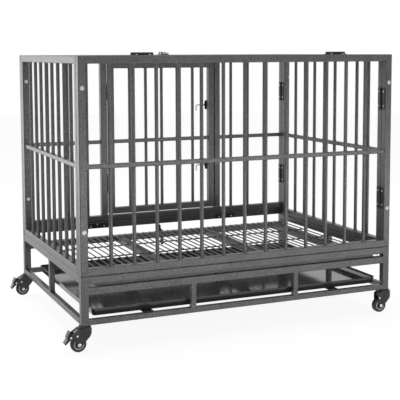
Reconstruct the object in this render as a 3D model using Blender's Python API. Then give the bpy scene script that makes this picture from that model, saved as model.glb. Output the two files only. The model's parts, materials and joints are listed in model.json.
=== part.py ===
"""Barred dog cage on a wheeled base, with a side door, a top lid, a wire floor and a waste tray.

The cage stands on four swivel casters. X runs along the long side, Y from the plain
barred side (front) to the side with the door (rear), and Z up. The origin is on the
floor, under the middle of the cage.
"""

import math

import bmesh
import bpy
from mathutils import Matrix, Vector

# Overall sizes of the cage, in metres
CAGE_LENGTH = 0.925
CAGE_WIDTH = 0.640
PANEL_HEIGHT = 0.555
BASE_HEIGHT = 0.1255
CASTER_HEIGHT = 0.067

# Square tube, round bar and the small distances between pieces
TUBE = 0.020
THIN_TUBE = 0.015
MID_RAIL = 0.012
BAR_RADIUS = 0.005
TUBE_ROUND = 0.0015
SEAT_GAP = 0.0003
WELD_DEPTH = 0.003
WELD_STEP = 0.0002
BAR_SIDES = 8

# Barred panels
LONG_BAR_COUNT = 13
END_BAR_COUNT = 8

# Door in the rear panel
DOORWAY_HALF = 0.189
DOOR_BAR_COUNT = 5
DOOR_HINGE_GAP = 0.005
DOOR_LATCH_GAP = 0.002
DOOR_SILL_GAP = 0.0035
DOOR_TOP_GAP = 0.003
DOOR_OUTER_BARS = 3

# Lid between the four top rails
LID_GAP = 0.003
LID_TUBE = 0.020

# Surface hinges of the door and the lid, one barrel half on each leaf
HINGE_BARREL_RADIUS = 0.004
HINGE_PIN_RADIUS = 0.0016
HINGE_LEAF_REACH = 0.0165
HINGE_LEAF_THICK = 0.0015
HINGE_HALF_GAP = 0.0004
LID_HINGE_LENGTH = 0.060
LID_HINGE_INSET = 0.1525
DOOR_HINGE_LENGTH = 0.055
DOOR_HINGE_DROP = 0.118
DOOR_HINGE_RISE = 0.139
HINGE_SIDES = 8

# Slide bolts of the door and the lid
BOLT_RADIUS = 0.0025
BOLT_AXIS_HEIGHT = 0.0045
BOLT_TRAVEL = 0.026
BOLT_HEEL = 0.003
BOLT_HANDLE = 0.020
HANDLE_RADIUS = 0.0024
LATCH_HEIGHT = 0.009
LATCH_PLATE_THICK = 0.0012
LATCH_PLATE_WIDTH = 0.030
LATCH_PLATE_LENGTH = 0.026
LATCH_LUG = 0.005
LATCH_LUG_WIDTH = 0.012
KEEPER_LENGTH = 0.012
KEEPER_WALL = 0.0014
KEEPER_FOOT = 0.006
KEEPER_SEAT = 0.0003
KEEPER_CLEARANCE = 0.0008
DOOR_LATCH_DROP = 0.168
DOOR_LATCH_RISE = 0.185

# Corner hinges and corner bolts that join the four panels
CORNER_HINGE_LENGTH = 0.063
CORNER_HINGE_DROP = 0.127
CORNER_HINGE_RISE = 0.142
CORNER_HINGE_REACH = 0.017
CORNER_HINGE_THICK = 0.0015
CORNER_HINGE_BARREL = 0.003
CORNER_BOLT_DROP = 0.080
CORNER_BOLT_RISE = 0.113
CORNER_BOLT_RADIUS = 0.003
CORNER_BOLT_HEAD = 0.006
CORNER_BOLT_HEAD_HEIGHT = 0.0035
CORNER_NUT_RADIUS = 0.0055
CORNER_NUT_HEIGHT = 0.005
CORNER_BOLT_END = 0.002
BOLT_SIDES = 8

# Base frame
RAIL_SLOT = 0.008
BASE_BAYS = 3
SIDE_MEMBER_GAP = 0.0225
PANEL_PEG_RADIUS = 0.005
PANEL_PEG_LENGTH = 0.018
PEG_CLEARANCE = 0.0004

# Welded wire floor
WIRE_RADIUS = 0.0018
ROD_RADIUS = 0.0020
WIRE_PITCH = 0.021
WIRE_BITE = 0.0006
ROD_ROWS = 5
ROD_FRONT_MARGIN = 0.036
ROD_REAR_MARGIN = 0.018
ROD_OVERHANG = 0.006
GRATE_END_GAP = 0.006
GRATE_FRONT_INSET = 0.012
GRATE_REAR_INSET = 0.030
WIRE_SIDES = 4

# Waste tray and the runners that carry it
TRAY_END_GAP = 0.0125
TRAY_FRONT_INSET = 0.018
TRAY_REAR_INSET = 0.070
TRAY_HEIGHT = 0.019
TRAY_WALL = 0.0015
TRAY_TAPER = 0.004
RUNNER_INSET = 0.150
RUNNER_WIDTH = 0.030
RUNNER_HEIGHT = 0.0018

# Swing catch on the rear rail, and the plates on the rear sill
CATCH_THICK = 0.003
CATCH_WIDTH = 0.010
CATCH_OFFSET = 0.005
CATCH_UP = 0.0315
CATCH_DOWN = 0.0375
CATCH_PIN_RADIUS = 0.0025
CATCH_PIN_END = 0.002
CATCH_HEAD_RADIUS = 0.0045
CATCH_HEAD_HEIGHT = 0.0015
SILL_PLATE_LENGTH = 0.070
SILL_PLATE_HEIGHT = 0.016
SILL_PLATE_THICK = 0.002
SILL_PLATE_OFFSET = 0.037

# Swivel casters
CASTER_TRAIL = 0.017
WHEEL_RADIUS = 0.0205
WHEEL_HALF_WIDTH = 0.0085
WHEEL_HUB_RADIUS = 0.0075
WHEEL_WEB_RADIUS = 0.0130
WHEEL_RIM_RADIUS = 0.0160
WHEEL_WEB_DEPTH = 0.0035
WHEEL_TREAD_ROUND = 0.003
WHEEL_STEPS = 16
AXLE_RADIUS = 0.003
AXLE_CLEARANCE = 0.0004
STEM_RADIUS = 0.005
STEM_LENGTH = 0.024
STEM_CLEARANCE = 0.0004
HEAD_RADIUS = 0.0170
HEAD_HEIGHT = 0.0045
RACE_GAP = 0.0006
KINGPIN_RADIUS = 0.004
KINGPIN_CLEARANCE = 0.0004
KINGPIN_LENGTH = 0.005
FORK_HALF_WIDTH = 0.0128
FORK_WALL = 0.0024
FORK_CROWN = 0.0065
FORK_NOSE = 0.0008
FORK_NOSE_DROP = 0.010
FORK_WAIST = 0.0135
FORK_WAIST_DROP = 0.019
FORK_EYE_RADIUS = 0.0075
FORK_BACK = 0.0085
FORK_BACK_RISE = 0.020
CROWN_OVERLAP = 0.0004
PRESS_STEP = 0.0003
RIVET_RADIUS = 0.002
RIVET_STAND = 0.0012
SPACER_GAP = 0.0008
SPACER_BACK = 0.005
PEDAL_PIVOT_BACK = 0.0215
PEDAL_PIVOT_UP = 0.0210
PEDAL_HUB_RADIUS = 0.0048
PEDAL_EAR_RADIUS = 0.0052
PEDAL_EAR_NECK = (-0.010, 0.011)
PEDAL_TIP_RADIUS = 0.0022
PEDAL_UPPER_TIP = (-0.0014, 0.0126)
PEDAL_LOWER_TIP = (-0.0134, -0.0156)
PEDAL_HEEL = (-0.0048, -0.0006)
CASTER_SIDES = 12

# Levels and planes that several pieces share
HALF_L = CAGE_LENGTH / 2
HALF_W = CAGE_WIDTH / 2
BASE_BOTTOM = CASTER_HEIGHT
BASE_TOP = BASE_BOTTOM + BASE_HEIGHT
PANEL_BOTTOM = BASE_TOP + SEAT_GAP
PANEL_TOP = PANEL_BOTTOM + PANEL_HEIGHT
FLOOR_RAIL_TOP = BASE_TOP - TUBE - RAIL_SLOT
FLOOR_RAIL_BOTTOM = FLOOR_RAIL_TOP - TUBE
MID_RAIL_Z = (PANEL_TOP + PANEL_BOTTOM) / 2
FORK_TOP = BASE_BOTTOM - SEAT_GAP - HEAD_HEIGHT - RACE_GAP
POST_X = HALF_L - TUBE / 2
POST_Y = HALF_W - TUBE / 2

# World axes along, across and through a panel
LONG_SIDE = "xzy"
SHORT_SIDE = "yzx"
LEVEL = "xyz"


# Materials

def material(name, colour, roughness, metallic):
    """Return a plain Principled material."""
    made = bpy.data.materials.new(name)
    made.use_nodes = True
    shader = made.node_tree.nodes["Principled BSDF"]
    shader.inputs["Base Color"].default_value = (*colour, 1.0)
    shader.inputs["Roughness"].default_value = roughness
    shader.inputs["Metallic"].default_value = metallic
    return made


def make_materials():
    """Return the finishes of the cage by name."""
    return {
        "hammer_grey": material("hammer_grey", (0.115, 0.115, 0.120), 0.42, 0.35),
        "black_steel": material("black_steel", (0.020, 0.020, 0.022), 0.45, 0.20),
        "zinc": material("zinc", (0.560, 0.560, 0.550), 0.30, 0.90),
        "tray_black": material("tray_black", (0.018, 0.018, 0.022), 0.18, 0.00),
        "caster_black": material("caster_black", (0.022, 0.022, 0.026), 0.38, 0.10),
        "tread_black": material("tread_black", (0.030, 0.030, 0.032), 0.60, 0.00),
    }


# Building blocks

def solid(name, mesh):
    """Put a mesh into the cage's collection as a named object."""
    made = bpy.data.objects.new(name, mesh)
    bpy.data.collections[CAGE_NAME].objects.link(made)
    return made


def from_bmesh(name, bm):
    """Turn a bmesh into an object and free the bmesh."""
    bmesh.ops.recalc_face_normals(bm, faces=bm.faces)
    if bm.calc_volume(signed=True) < 0.0:
        bmesh.ops.reverse_faces(bm, faces=bm.faces)
    mesh = bpy.data.meshes.new(name)
    bm.to_mesh(mesh)
    bm.free()
    return solid(name, mesh)


def add_box(bm, low, high):
    """Add a box between two corners and return its vertices."""
    low, high = Vector(low), Vector(high)
    middle = (low + high) / 2
    size = high - low
    scale = Matrix.Diagonal((size.x, size.y, size.z, 1.0))
    made = bmesh.ops.create_cube(bm, size=1.0, matrix=Matrix.Translation(middle) @ scale)
    return made["verts"]


def add_rod(bm, start, end, radius, sides, turn=0.0):
    """Add a capped cylinder from one point to another."""
    start, end = Vector(start), Vector(end)
    along = end - start
    aim = along.to_track_quat("Z", "Y").to_matrix().to_4x4()
    place = Matrix.Translation((start + end) / 2) @ aim @ Matrix.Rotation(turn, 4, "Z")
    bmesh.ops.create_cone(bm, cap_ends=True, segments=sides, radius1=radius,
                          radius2=radius, depth=along.length, matrix=place)


def round_sharp_edges(bm, radius):
    """Chamfer every edge where two faces meet at an angle, as drawn tube has."""
    sharp = [edge for edge in bm.edges if edge.calc_face_angle(0.0) > math.radians(30)]
    bmesh.ops.bevel(bm, geom=sharp, offset=radius, segments=1, affect="EDGES",
                    clamp_overlap=True)


def box(low, high, rounding=0.0):
    """Return a box object, with chamfered edges if asked."""
    bm = bmesh.new()
    add_box(bm, low, high)
    if rounding:
        round_sharp_edges(bm, rounding)
    return from_bmesh("box", bm)


def rods(ends, radius, sides, turn=0.0):
    """Return one object with a separate rod for each pair of ends."""
    bm = bmesh.new()
    for start, end in ends:
        add_rod(bm, start, end, radius, sides, turn)
    return from_bmesh("rods", bm)


def bores(ends, radius, sides=None):
    """Return cutters for round holes whose flats clear a pin of the given radius."""
    sides = sides or BOLT_SIDES
    return rods(ends, radius / math.cos(math.pi / sides), sides)


def turned(profile, steps, centre, direction):
    """Revolve a profile of (radius, distance) points about a direction through a point."""
    bm = bmesh.new()
    points = [bm.verts.new((radius, 0.0, distance)) for radius, distance in profile]
    edges = [bm.edges.new(pair) for pair in zip(points, points[1:])]
    if profile[0][0] > 0.0:
        edges.append(bm.edges.new((points[-1], points[0])))
    bmesh.ops.spin(bm, geom=points + edges, cent=(0, 0, 0), axis=(0, 0, 1),
                   angle=2 * math.pi, steps=steps, use_merge=True)
    bmesh.ops.remove_doubles(bm, verts=bm.verts, dist=1e-6)
    aim = Vector(direction).to_track_quat("Z", "Y").to_matrix().to_4x4()
    bm.transform(Matrix.Translation(centre) @ aim)
    return from_bmesh("turned", bm)


def grow(bm, along):
    """Extrude all the faces of a flat bmesh into a closed solid."""
    grown = bmesh.ops.extrude_face_region(bm, geom=bm.faces[:])
    moved = [item for item in grown["geom"] if isinstance(item, bmesh.types.BMVert)]
    bmesh.ops.translate(bm, verts=moved, vec=along)
    bmesh.ops.recalc_face_normals(bm, faces=bm.faces)


def plate_outline(points, low, high, axes):
    """Extrude a flat outline of (u, v) points from low to high along the third axis."""
    bm = bmesh.new()
    bm.faces.new([bm.verts.new(at(axes, u, v, low)) for u, v in points])
    grow(bm, at(axes, 0.0, 0.0, high - low))
    return from_bmesh("plate", bm)


def at(axes, u, v, w):
    """Return the point with u, v and w measured along the given world axes."""
    point = dict(zip(axes, (u, v, w)))
    return Vector((point["x"], point["y"], point["z"]))


def combine(name, body, others, operation):
    """Apply one Boolean for each other solid and return the resulting object."""
    for other in others:
        step = body.modifiers.new(operation.lower(), "BOOLEAN")
        step.operation = operation
        step.solver = "EXACT"
        step.object = other
    graph = bpy.context.evaluated_depsgraph_get()
    mesh = bpy.data.meshes.new_from_object(body.evaluated_get(graph))
    mesh.transform(body.matrix_world)
    for used in [body, *others]:
        bpy.data.objects.remove(used)
    return solid(name, mesh)


def weld(name, pieces):
    """Join pieces that bite into each other into one closed body."""
    return combine(name, pieces[0], pieces[1:], "UNION")


def cut(name, body, cutters):
    """Take the cutters out of a body."""
    return combine(name, body, cutters, "DIFFERENCE")


def finish_part(made, name, finish, origin=(0.0, 0.0, 0.0)):
    """Name a part, give it its finish and shading, and move its origin to a point."""
    made.name = name
    made.data.name = name
    made.data.materials.clear()
    made.data.materials.append(finish)
    made.data.transform(Matrix.Translation(-Vector(origin)))
    made.location = origin
    made.data.shade_smooth()
    made.data.set_sharp_from_angle(angle=math.radians(40))
    return made


def local_frame(origin, along, outward):
    """Return the matrix whose u axis runs along, w axis outward and v across them."""
    u, w = Vector(along), Vector(outward)
    v = w.cross(u)
    turn = Matrix((u, v, w)).transposed().to_4x4()
    return Matrix.Translation(origin) @ turn


def levels(drop, rise):
    """Yield the upper and lower level on a panel, from its top and from its bottom."""
    yield "upper", PANEL_TOP - drop
    yield "lower", PANEL_BOTTOM + rise


# Barred panels

def tube_ring(axes, low, high, tube, middle):
    """Return a mitred frame of square tube between two corners of a plane."""
    bm = bmesh.new()
    corners = [(low[0], low[1]), (high[0], low[1]), (high[0], high[1]), (low[0], high[1])]
    face = bm.faces.new([bm.verts.new(at(axes, u, v, middle - tube / 2)) for u, v in corners])
    face.normal_update()
    bmesh.ops.inset_individual(bm, faces=[face], thickness=tube, depth=0.0,
                               use_even_offset=True)
    bmesh.ops.delete(bm, geom=[face], context="FACES_ONLY")
    grow(bm, at(axes, 0.0, 0.0, tube))
    round_sharp_edges(bm, TUBE_ROUND)
    return from_bmesh("ring", bm)


def bar_places(low, high, count):
    """Return evenly spaced places for bars between two inner faces."""
    pitch = (high - low) / (count + 1)
    return [low + pitch * (index + 1) for index in range(count)]


def bar_row(axes, places, low, high, middle):
    """Return the round bars of a panel, each end sunk in its rail."""
    ends = [(at(axes, u, low - WELD_DEPTH, middle), at(axes, u, high + WELD_DEPTH, middle))
            for u in places]
    return rods(ends, BAR_RADIUS, BAR_SIDES)


def rail_piece(axes, low, high, level, middle, size, rounding=TUBE_ROUND):
    """Return a rail along u, centred on a level and a middle plane."""
    half = size / 2
    return box(at(axes, low, level - half, middle - half),
               at(axes, high, level + half, middle + half), rounding)


def bolt_holes(middle_y, side_x):
    """Return the holes for the corner bolts through both stiles at one end."""
    reach = 2 * TUBE
    ends = [((side_x, middle_y - reach, z), (side_x, middle_y + reach, z))
            for _, z in levels(CORNER_BOLT_DROP, CORNER_BOLT_RISE)]
    return bores(ends, CORNER_BOLT_RADIUS + SEAT_GAP)


def panel_pegs(side_y):
    """Return the round pegs that stand a long panel in the tops of the base posts."""
    ends = [((x, side_y, PANEL_BOTTOM + WELD_DEPTH), (x, side_y, PANEL_BOTTOM - PANEL_PEG_LENGTH))
            for x in (-POST_X, POST_X)]
    return rods(ends, PANEL_PEG_RADIUS, BOLT_SIDES)


def make_front_panel(finish):
    """Long barred panel at the front."""
    inner = HALF_L - TUBE
    ring = tube_ring(LONG_SIDE, (-HALF_L, PANEL_BOTTOM), (HALF_L, PANEL_TOP), TUBE, -POST_Y)
    rail = rail_piece(LONG_SIDE, -inner - WELD_DEPTH, inner + WELD_DEPTH, MID_RAIL_Z, -POST_Y,
                      MID_RAIL, TUBE_ROUND / 2)
    bars = bar_row(LONG_SIDE, bar_places(-inner, inner, LONG_BAR_COUNT),
                   PANEL_BOTTOM + TUBE, PANEL_TOP - TUBE, -POST_Y)
    body = weld("front", [ring, rail, bars, panel_pegs(-POST_Y)])
    holes = [bolt_holes(-POST_Y, side * POST_X) for side in (-1, 1)]
    return finish_part(cut("front", body, holes), "front_panel", finish)


def make_end_panel(name, side, finish):
    """Short barred panel that stands between the long panels."""
    outer = HALF_W - TUBE - SEAT_GAP
    inner = outer - TUBE
    middle = side * POST_X
    ring = tube_ring(SHORT_SIDE, (-outer, PANEL_BOTTOM), (outer, PANEL_TOP), TUBE, middle)
    rail = rail_piece(SHORT_SIDE, -inner - WELD_DEPTH, inner + WELD_DEPTH, MID_RAIL_Z, middle,
                      MID_RAIL, TUBE_ROUND / 2)
    bars = bar_row(SHORT_SIDE, bar_places(-inner, inner, END_BAR_COUNT),
                   PANEL_BOTTOM + TUBE, PANEL_TOP - TUBE, middle)
    body = weld("end", [ring, rail, bars])
    holes = [bolt_holes(place, middle) for place in (-outer, outer)]
    return finish_part(cut("end", body, holes), name, finish)


def sill_plates():
    """Return the two plates on the inside of the rear panel's lowest rail."""
    face = HALF_W - TUBE
    z = PANEL_BOTTOM + TUBE / 2
    plates = []
    for side in (-1, 1):
        x = side * (DOORWAY_HALF + SILL_PLATE_OFFSET)
        low = (x - SILL_PLATE_LENGTH / 2, face - SILL_PLATE_THICK, z - SILL_PLATE_HEIGHT / 2)
        high = (x + SILL_PLATE_LENGTH / 2, face + WELD_STEP, z + SILL_PLATE_HEIGHT / 2)
        plates.append(box(low, high))
    return plates


def make_rear_panel(finish):
    """Long panel at the rear, with the doorway in its middle."""
    inner = HALF_L - TUBE
    slim = TUBE - 2 * WELD_STEP
    sill_top = PANEL_BOTTOM + 2 * TUBE
    jamb_middle = DOORWAY_HALF + TUBE / 2
    pieces = [tube_ring(LONG_SIDE, (-HALF_L, PANEL_BOTTOM), (HALF_L, PANEL_TOP), TUBE, POST_Y)]
    upper_sill = PANEL_BOTTOM + TUBE - WELD_STEP
    pieces.append(box(at(LONG_SIDE, -inner - WELD_DEPTH, upper_sill, POST_Y - slim / 2),
                      at(LONG_SIDE, inner + WELD_DEPTH, sill_top, POST_Y + slim / 2), TUBE_ROUND))
    for side in (-1, 1):
        low = at(LONG_SIDE, side * jamb_middle - TUBE / 2, sill_top - WELD_DEPTH, POST_Y - slim / 2)
        high = at(LONG_SIDE, side * jamb_middle + TUBE / 2, PANEL_TOP - TUBE + WELD_DEPTH,
                  POST_Y + slim / 2)
        pieces.append(box(low, high, TUBE_ROUND))
        ends = sorted((side * (DOORWAY_HALF + TUBE - WELD_DEPTH), side * (inner + WELD_DEPTH)))
        pieces.append(rail_piece(LONG_SIDE, ends[0], ends[1], MID_RAIL_Z, POST_Y,
                                 MID_RAIL, TUBE_ROUND / 2))
    outer_bars = bar_places(-inner, inner, LONG_BAR_COUNT)
    beside_door = outer_bars[:DOOR_OUTER_BARS] + outer_bars[-DOOR_OUTER_BARS:]
    pieces.append(bar_row(LONG_SIDE, beside_door, sill_top, PANEL_TOP - TUBE, POST_Y))
    pieces.append(panel_pegs(POST_Y))
    pieces += sill_plates() + keeper_seats()
    body = weld("rear", pieces)
    holes = [bolt_holes(POST_Y, side * POST_X) for side in (-1, 1)]
    return finish_part(cut("rear", body, holes), "rear_panel", finish)


# Door and lid

def door_edges():
    """Return the door's left, right, bottom and top outer faces."""
    left = -DOORWAY_HALF + DOOR_HINGE_GAP
    right = DOORWAY_HALF - DOOR_LATCH_GAP
    bottom = PANEL_BOTTOM + 2 * TUBE + DOOR_SILL_GAP
    top = PANEL_TOP - TUBE - DOOR_TOP_GAP
    return left, right, bottom, top


def door_axis():
    """Return a point on the door hinges' axis."""
    x = -DOORWAY_HALF + DOOR_HINGE_GAP / 2
    return Vector((x, HALF_W + SEAT_GAP + HINGE_BARREL_RADIUS, MID_RAIL_Z))


def make_door(finish):
    """Framed and barred door."""
    left, right, bottom, top = door_edges()
    ring = tube_ring(LONG_SIDE, (left, bottom), (right, top), TUBE, POST_Y)
    rail = rail_piece(LONG_SIDE, left + TUBE - WELD_DEPTH, right - TUBE + WELD_DEPTH, MID_RAIL_Z,
                      POST_Y, MID_RAIL, TUBE_ROUND / 2)
    bars = bar_row(LONG_SIDE, bar_places(left + TUBE, right - TUBE, DOOR_BAR_COUNT),
                   bottom + TUBE, top - TUBE, POST_Y)
    return finish_part(weld("door", [ring, rail, bars]), "door", finish, door_axis())


def lid_edges():
    """Return the lid's outer half length and its front and rear faces."""
    half = HALF_L - TUBE - LID_GAP
    return half, -HALF_W + TUBE + LID_GAP, HALF_W - TUBE - LID_GAP


def lid_axis():
    """Return a point on the lid hinges' axis."""
    y = -HALF_W + TUBE + LID_GAP / 2
    return Vector((0.0, y, PANEL_TOP + SEAT_GAP + HINGE_BARREL_RADIUS))


def make_lid(finish):
    """Framed and barred lid that lies level with the top rails."""
    half, front, rear = lid_edges()
    middle = PANEL_TOP - LID_TUBE / 2
    ring = tube_ring(LEVEL, (-half, front), (half, rear), LID_TUBE, middle)
    rail = rail_piece(LEVEL, -half + LID_TUBE - WELD_DEPTH, half - LID_TUBE + WELD_DEPTH, 0.0,
                      middle, MID_RAIL, TUBE_ROUND / 2)
    bars = bar_row(LEVEL, bar_places(-half + LID_TUBE, half - LID_TUBE, LONG_BAR_COUNT),
                   front + LID_TUBE, rear - LID_TUBE, middle)
    return finish_part(weld("lid", [ring, rail, bars]), "lid", finish, lid_axis())


def hinge_leaf(name, frame, length, side, finish, origin):
    """Make one leaf of a hinge; the fixed leaf has side -1 and the moving one has +1."""
    radius = HINGE_BARREL_RADIUS
    low, high = (-length / 2, -HINGE_HALF_GAP / 2) if side < 0 else (HINGE_HALF_GAP / 2, length / 2)
    bottom = -radius
    inner = radius + SEAT_GAP * 2
    across = sorted((side * inner, side * HINGE_LEAF_REACH))
    web = sorted((side * radius / 4, side * (inner + WELD_DEPTH)))
    pieces = [
        box((-length / 2, across[0], bottom), (length / 2, across[1], bottom + HINGE_LEAF_THICK)),
        box((low + WELD_STEP, web[0], bottom + WELD_STEP),
            (high - WELD_STEP, web[1], bottom + HINGE_LEAF_THICK + WELD_STEP)),
        rods([((low, 0, 0), (high, 0, 0))], radius, HINGE_SIDES, math.pi / HINGE_SIDES),
    ]
    if side > 0:
        pin_end = -length / 2 + WELD_STEP
        pieces.append(rods([((pin_end, 0, 0), (high / 2, 0, 0))], HINGE_PIN_RADIUS, BOLT_SIDES))
    leaf = weld("leaf", pieces)
    if side < 0:
        bore = bores([((low - TUBE, 0, 0), (high + TUBE, 0, 0))], HINGE_PIN_RADIUS + SEAT_GAP)
        leaf = cut("leaf", leaf, [bore])
    leaf.data.transform(frame)
    return finish_part(leaf, name, finish, origin)


def make_hinges(finish):
    """Two hinges for the door and two for the lid, each of two leaves."""
    for place, z in levels(DOOR_HINGE_DROP, DOOR_HINGE_RISE):
        centre = door_axis()
        centre.z = z
        frame = local_frame(centre, (0, 0, 1), (0, 1, 0))
        hinge_leaf("door_hinge_" + place + "_jamb_leaf", frame, DOOR_HINGE_LENGTH, -1, finish, centre)
        hinge_leaf("door_hinge_" + place + "_door_leaf", frame, DOOR_HINGE_LENGTH, 1, finish, centre)
    for place, side in (("left", -1), ("right", 1)):
        centre = lid_axis()
        centre.x = side * (lid_edges()[0] - LID_HINGE_INSET)
        frame = local_frame(centre, (1, 0, 0), (0, 0, 1))
        hinge_leaf("lid_hinge_" + place + "_rail_leaf", frame, LID_HINGE_LENGTH, -1, finish, centre)
        hinge_leaf("lid_hinge_" + place + "_lid_leaf", frame, LID_HINGE_LENGTH, 1, finish, centre)


# Slide bolts

def latch_guide(name, frame, finish):
    """Make the plate with two lugs that guides a slide bolt; u = 0 is the door's edge."""
    half = LATCH_PLATE_WIDTH / 2
    lug = LATCH_LUG_WIDTH / 2
    pieces = [box((-LATCH_PLATE_LENGTH, -half, SEAT_GAP),
                  (-WELD_STEP, half, SEAT_GAP + LATCH_PLATE_THICK))]
    for start in (-LATCH_PLATE_LENGTH + WELD_STEP, -LATCH_LUG - 2 * WELD_STEP):
        pieces.append(box((start, -lug, SEAT_GAP + LATCH_PLATE_THICK / 2),
                          (start + LATCH_LUG, lug, LATCH_HEIGHT)))
    body = weld("guide", pieces)
    bore = bores([((-2 * LATCH_PLATE_LENGTH, 0, BOLT_AXIS_HEIGHT), (TUBE, 0, BOLT_AXIS_HEIGHT))],
                 BOLT_RADIUS + SEAT_GAP)
    body = cut("guide", body, [bore])
    body.data.transform(frame)
    return finish_part(body, name, finish, frame.translation)


def slide_bolt(name, frame, finish):
    """Make the sliding rod with its bent handle, drawn back from the keeper."""
    tip = -2 * SEAT_GAP
    bend = tip - LATCH_PLATE_LENGTH - BOLT_TRAVEL - BOLT_HEEL
    heel = bend - BOLT_RADIUS
    axis = BOLT_AXIS_HEIGHT
    rod = rods([((heel, 0, axis), (tip, 0, axis))], BOLT_RADIUS, BOLT_SIDES)
    handle = rods([((bend, -HANDLE_RADIUS / 2, axis), (bend, BOLT_HANDLE, axis + BOLT_RADIUS))],
                  HANDLE_RADIUS, BOLT_SIDES, math.pi / BOLT_SIDES)
    body = weld("bolt", [rod, handle])
    body.data.transform(frame)
    return finish_part(body, name, finish, frame.translation)


def keeper_frames():
    """Yield the name and frame of each keeper: two on the door's jamb, one on the rear top rail."""
    inset = (TUBE - KEEPER_LENGTH) / 2
    for place, z in levels(DOOR_LATCH_DROP, DOOR_LATCH_RISE):
        origin = (DOORWAY_HALF + inset, HALF_W, z)
        yield "door_keeper_" + place, local_frame(origin, (1, 0, 0), (0, 1, 0))
    origin = (0.0, HALF_W - TUBE + inset, PANEL_TOP)
    yield "lid_keeper", local_frame(origin, (0, 1, 0), (0, 0, 1))


def keeper_sides():
    """Return the inner and outer face of a keeper's leg and the end of its foot, across the bolt."""
    half = BOLT_RADIUS + KEEPER_CLEARANCE
    outer = half + KEEPER_WALL
    return half, outer, outer + KEEPER_FOOT


def keeper_seats():
    """Return the low weld seats that the rear panel has under the keepers' feet."""
    inner, _, reach = keeper_sides()
    seats = []
    for _, frame in keeper_frames():
        for side in (-1, 1):
            across = sorted((side * inner, side * reach))
            seat = box((0.0, across[0], -WELD_STEP), (KEEPER_LENGTH, across[1], KEEPER_SEAT))
            seat.data.transform(frame)
            seats.append(seat)
    return seats


def keeper(name, frame, finish):
    """Make the footed strap that a slide bolt shoots under."""
    base = KEEPER_SEAT + SEAT_GAP
    half, outer, reach = keeper_sides()
    top = BOLT_AXIS_HEIGHT + half
    edge = [(reach, base), (reach, base + KEEPER_WALL), (outer, base + KEEPER_WALL), (outer, top),
            (half, top + KEEPER_WALL)]
    inside = [(-half, base), (-half, top), (half, top), (half, base)]
    outline = inside + edge + [(-v, w) for v, w in reversed(edge)]
    made = plate_outline(outline, 0.0, KEEPER_LENGTH, SHORT_SIDE)
    made.data.transform(frame)
    return finish_part(made, name, finish)


def make_latches(plate_finish, bolt_finish):
    """Two slide bolts on the door's latch stile and one on the lid, each with its keeper."""
    right = door_edges()[1]
    for place, z in levels(DOOR_LATCH_DROP, DOOR_LATCH_RISE):
        frame = local_frame((right, HALF_W, z), (1, 0, 0), (0, 1, 0))
        latch_guide("door_latch_" + place + "_guide", frame, plate_finish)
        slide_bolt("door_latch_" + place + "_bolt", frame, bolt_finish)
    frame = local_frame((0.0, lid_edges()[2], PANEL_TOP), (0, 1, 0), (0, 0, 1))
    latch_guide("lid_latch_guide", frame, plate_finish)
    slide_bolt("lid_latch_bolt", frame, bolt_finish)
    for name, frame in keeper_frames():
        keeper(name, frame, plate_finish)


# Corner hinges and corner bolts

def make_corner_hinge(name, side_x, side_y, z, finish):
    """Make a hinge on the inner faces of the two stiles that meet in a corner."""
    face = HALF_L - TUBE - SEAT_GAP
    seam = HALF_W - TUBE
    half = CORNER_HINGE_LENGTH / 2
    plate = box((face - CORNER_HINGE_THICK, seam - CORNER_HINGE_REACH, z - half),
                (face, seam + CORNER_HINGE_REACH, z + half))
    middle = face - CORNER_HINGE_BARREL
    barrel = rods([((middle, seam, z - half - WELD_STEP), (middle, seam, z + half + WELD_STEP))],
                  CORNER_HINGE_BARREL - WELD_STEP, BOLT_SIDES, math.pi / BOLT_SIDES)
    body = weld("corner_hinge", [plate, barrel])
    turn_to_corner(body, side_x, side_y)
    return finish_part(body, name, finish)


def make_corner_bolt(name, side_x, side_y, z, finish):
    """Make a bolt through both stiles of a corner, with its nut on the inside."""
    outside = HALF_W + SEAT_GAP
    nut_face = HALF_W - 2 * TUBE - 2 * SEAT_GAP - outside
    nut_end = nut_face - CORNER_NUT_HEIGHT
    tip = nut_end - CORNER_BOLT_END
    profile = [
        (0.0, CORNER_BOLT_HEAD_HEIGHT),
        (CORNER_BOLT_HEAD * 0.6, CORNER_BOLT_HEAD_HEIGHT * 0.8),
        (CORNER_BOLT_HEAD, 0.0),
        (CORNER_BOLT_RADIUS, 0.0),
        (CORNER_BOLT_RADIUS, nut_face),
        (CORNER_NUT_RADIUS, nut_face),
        (CORNER_NUT_RADIUS, nut_end),
        (CORNER_BOLT_RADIUS, nut_end),
        (CORNER_BOLT_RADIUS, tip),
        (0.0, tip),
    ]
    body = turned(profile, BOLT_SIDES, (POST_X, outside, z), (0, 1, 0))
    turn_to_corner(body, side_x, side_y)
    return finish_part(body, name, finish)


def turn_to_corner(made, side_x, side_y):
    """Mirror a piece that was modelled in the +X +Y corner into another corner."""
    made.data.transform(Matrix.Diagonal((side_x, side_y, 1.0, 1.0)))
    if side_x * side_y < 0:
        made.data.flip_normals()


def corners():
    """Yield each corner's name and its signs."""
    for name_y, side_y in (("front", -1), ("rear", 1)):
        for name_x, side_x in (("left", -1), ("right", 1)):
            yield name_y + "_" + name_x, side_x, side_y


def make_corner_hardware(hinge_finish, bolt_finish):
    """Two hinges and two bolts in each corner."""
    for corner, side_x, side_y in corners():
        for place, z in levels(CORNER_HINGE_DROP, CORNER_HINGE_RISE):
            make_corner_hinge("corner_hinge_" + corner + "_" + place, side_x, side_y, z,
                              hinge_finish)
        for place, z in levels(CORNER_BOLT_DROP, CORNER_BOLT_RISE):
            make_corner_bolt("corner_bolt_" + corner + "_" + place, side_x, side_y, z,
                             bolt_finish)


# Base frame

def post_places():
    """Return the centres of the four posts."""
    return [(side_x * POST_X, side_y * POST_Y) for _, side_x, side_y in corners()]


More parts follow.
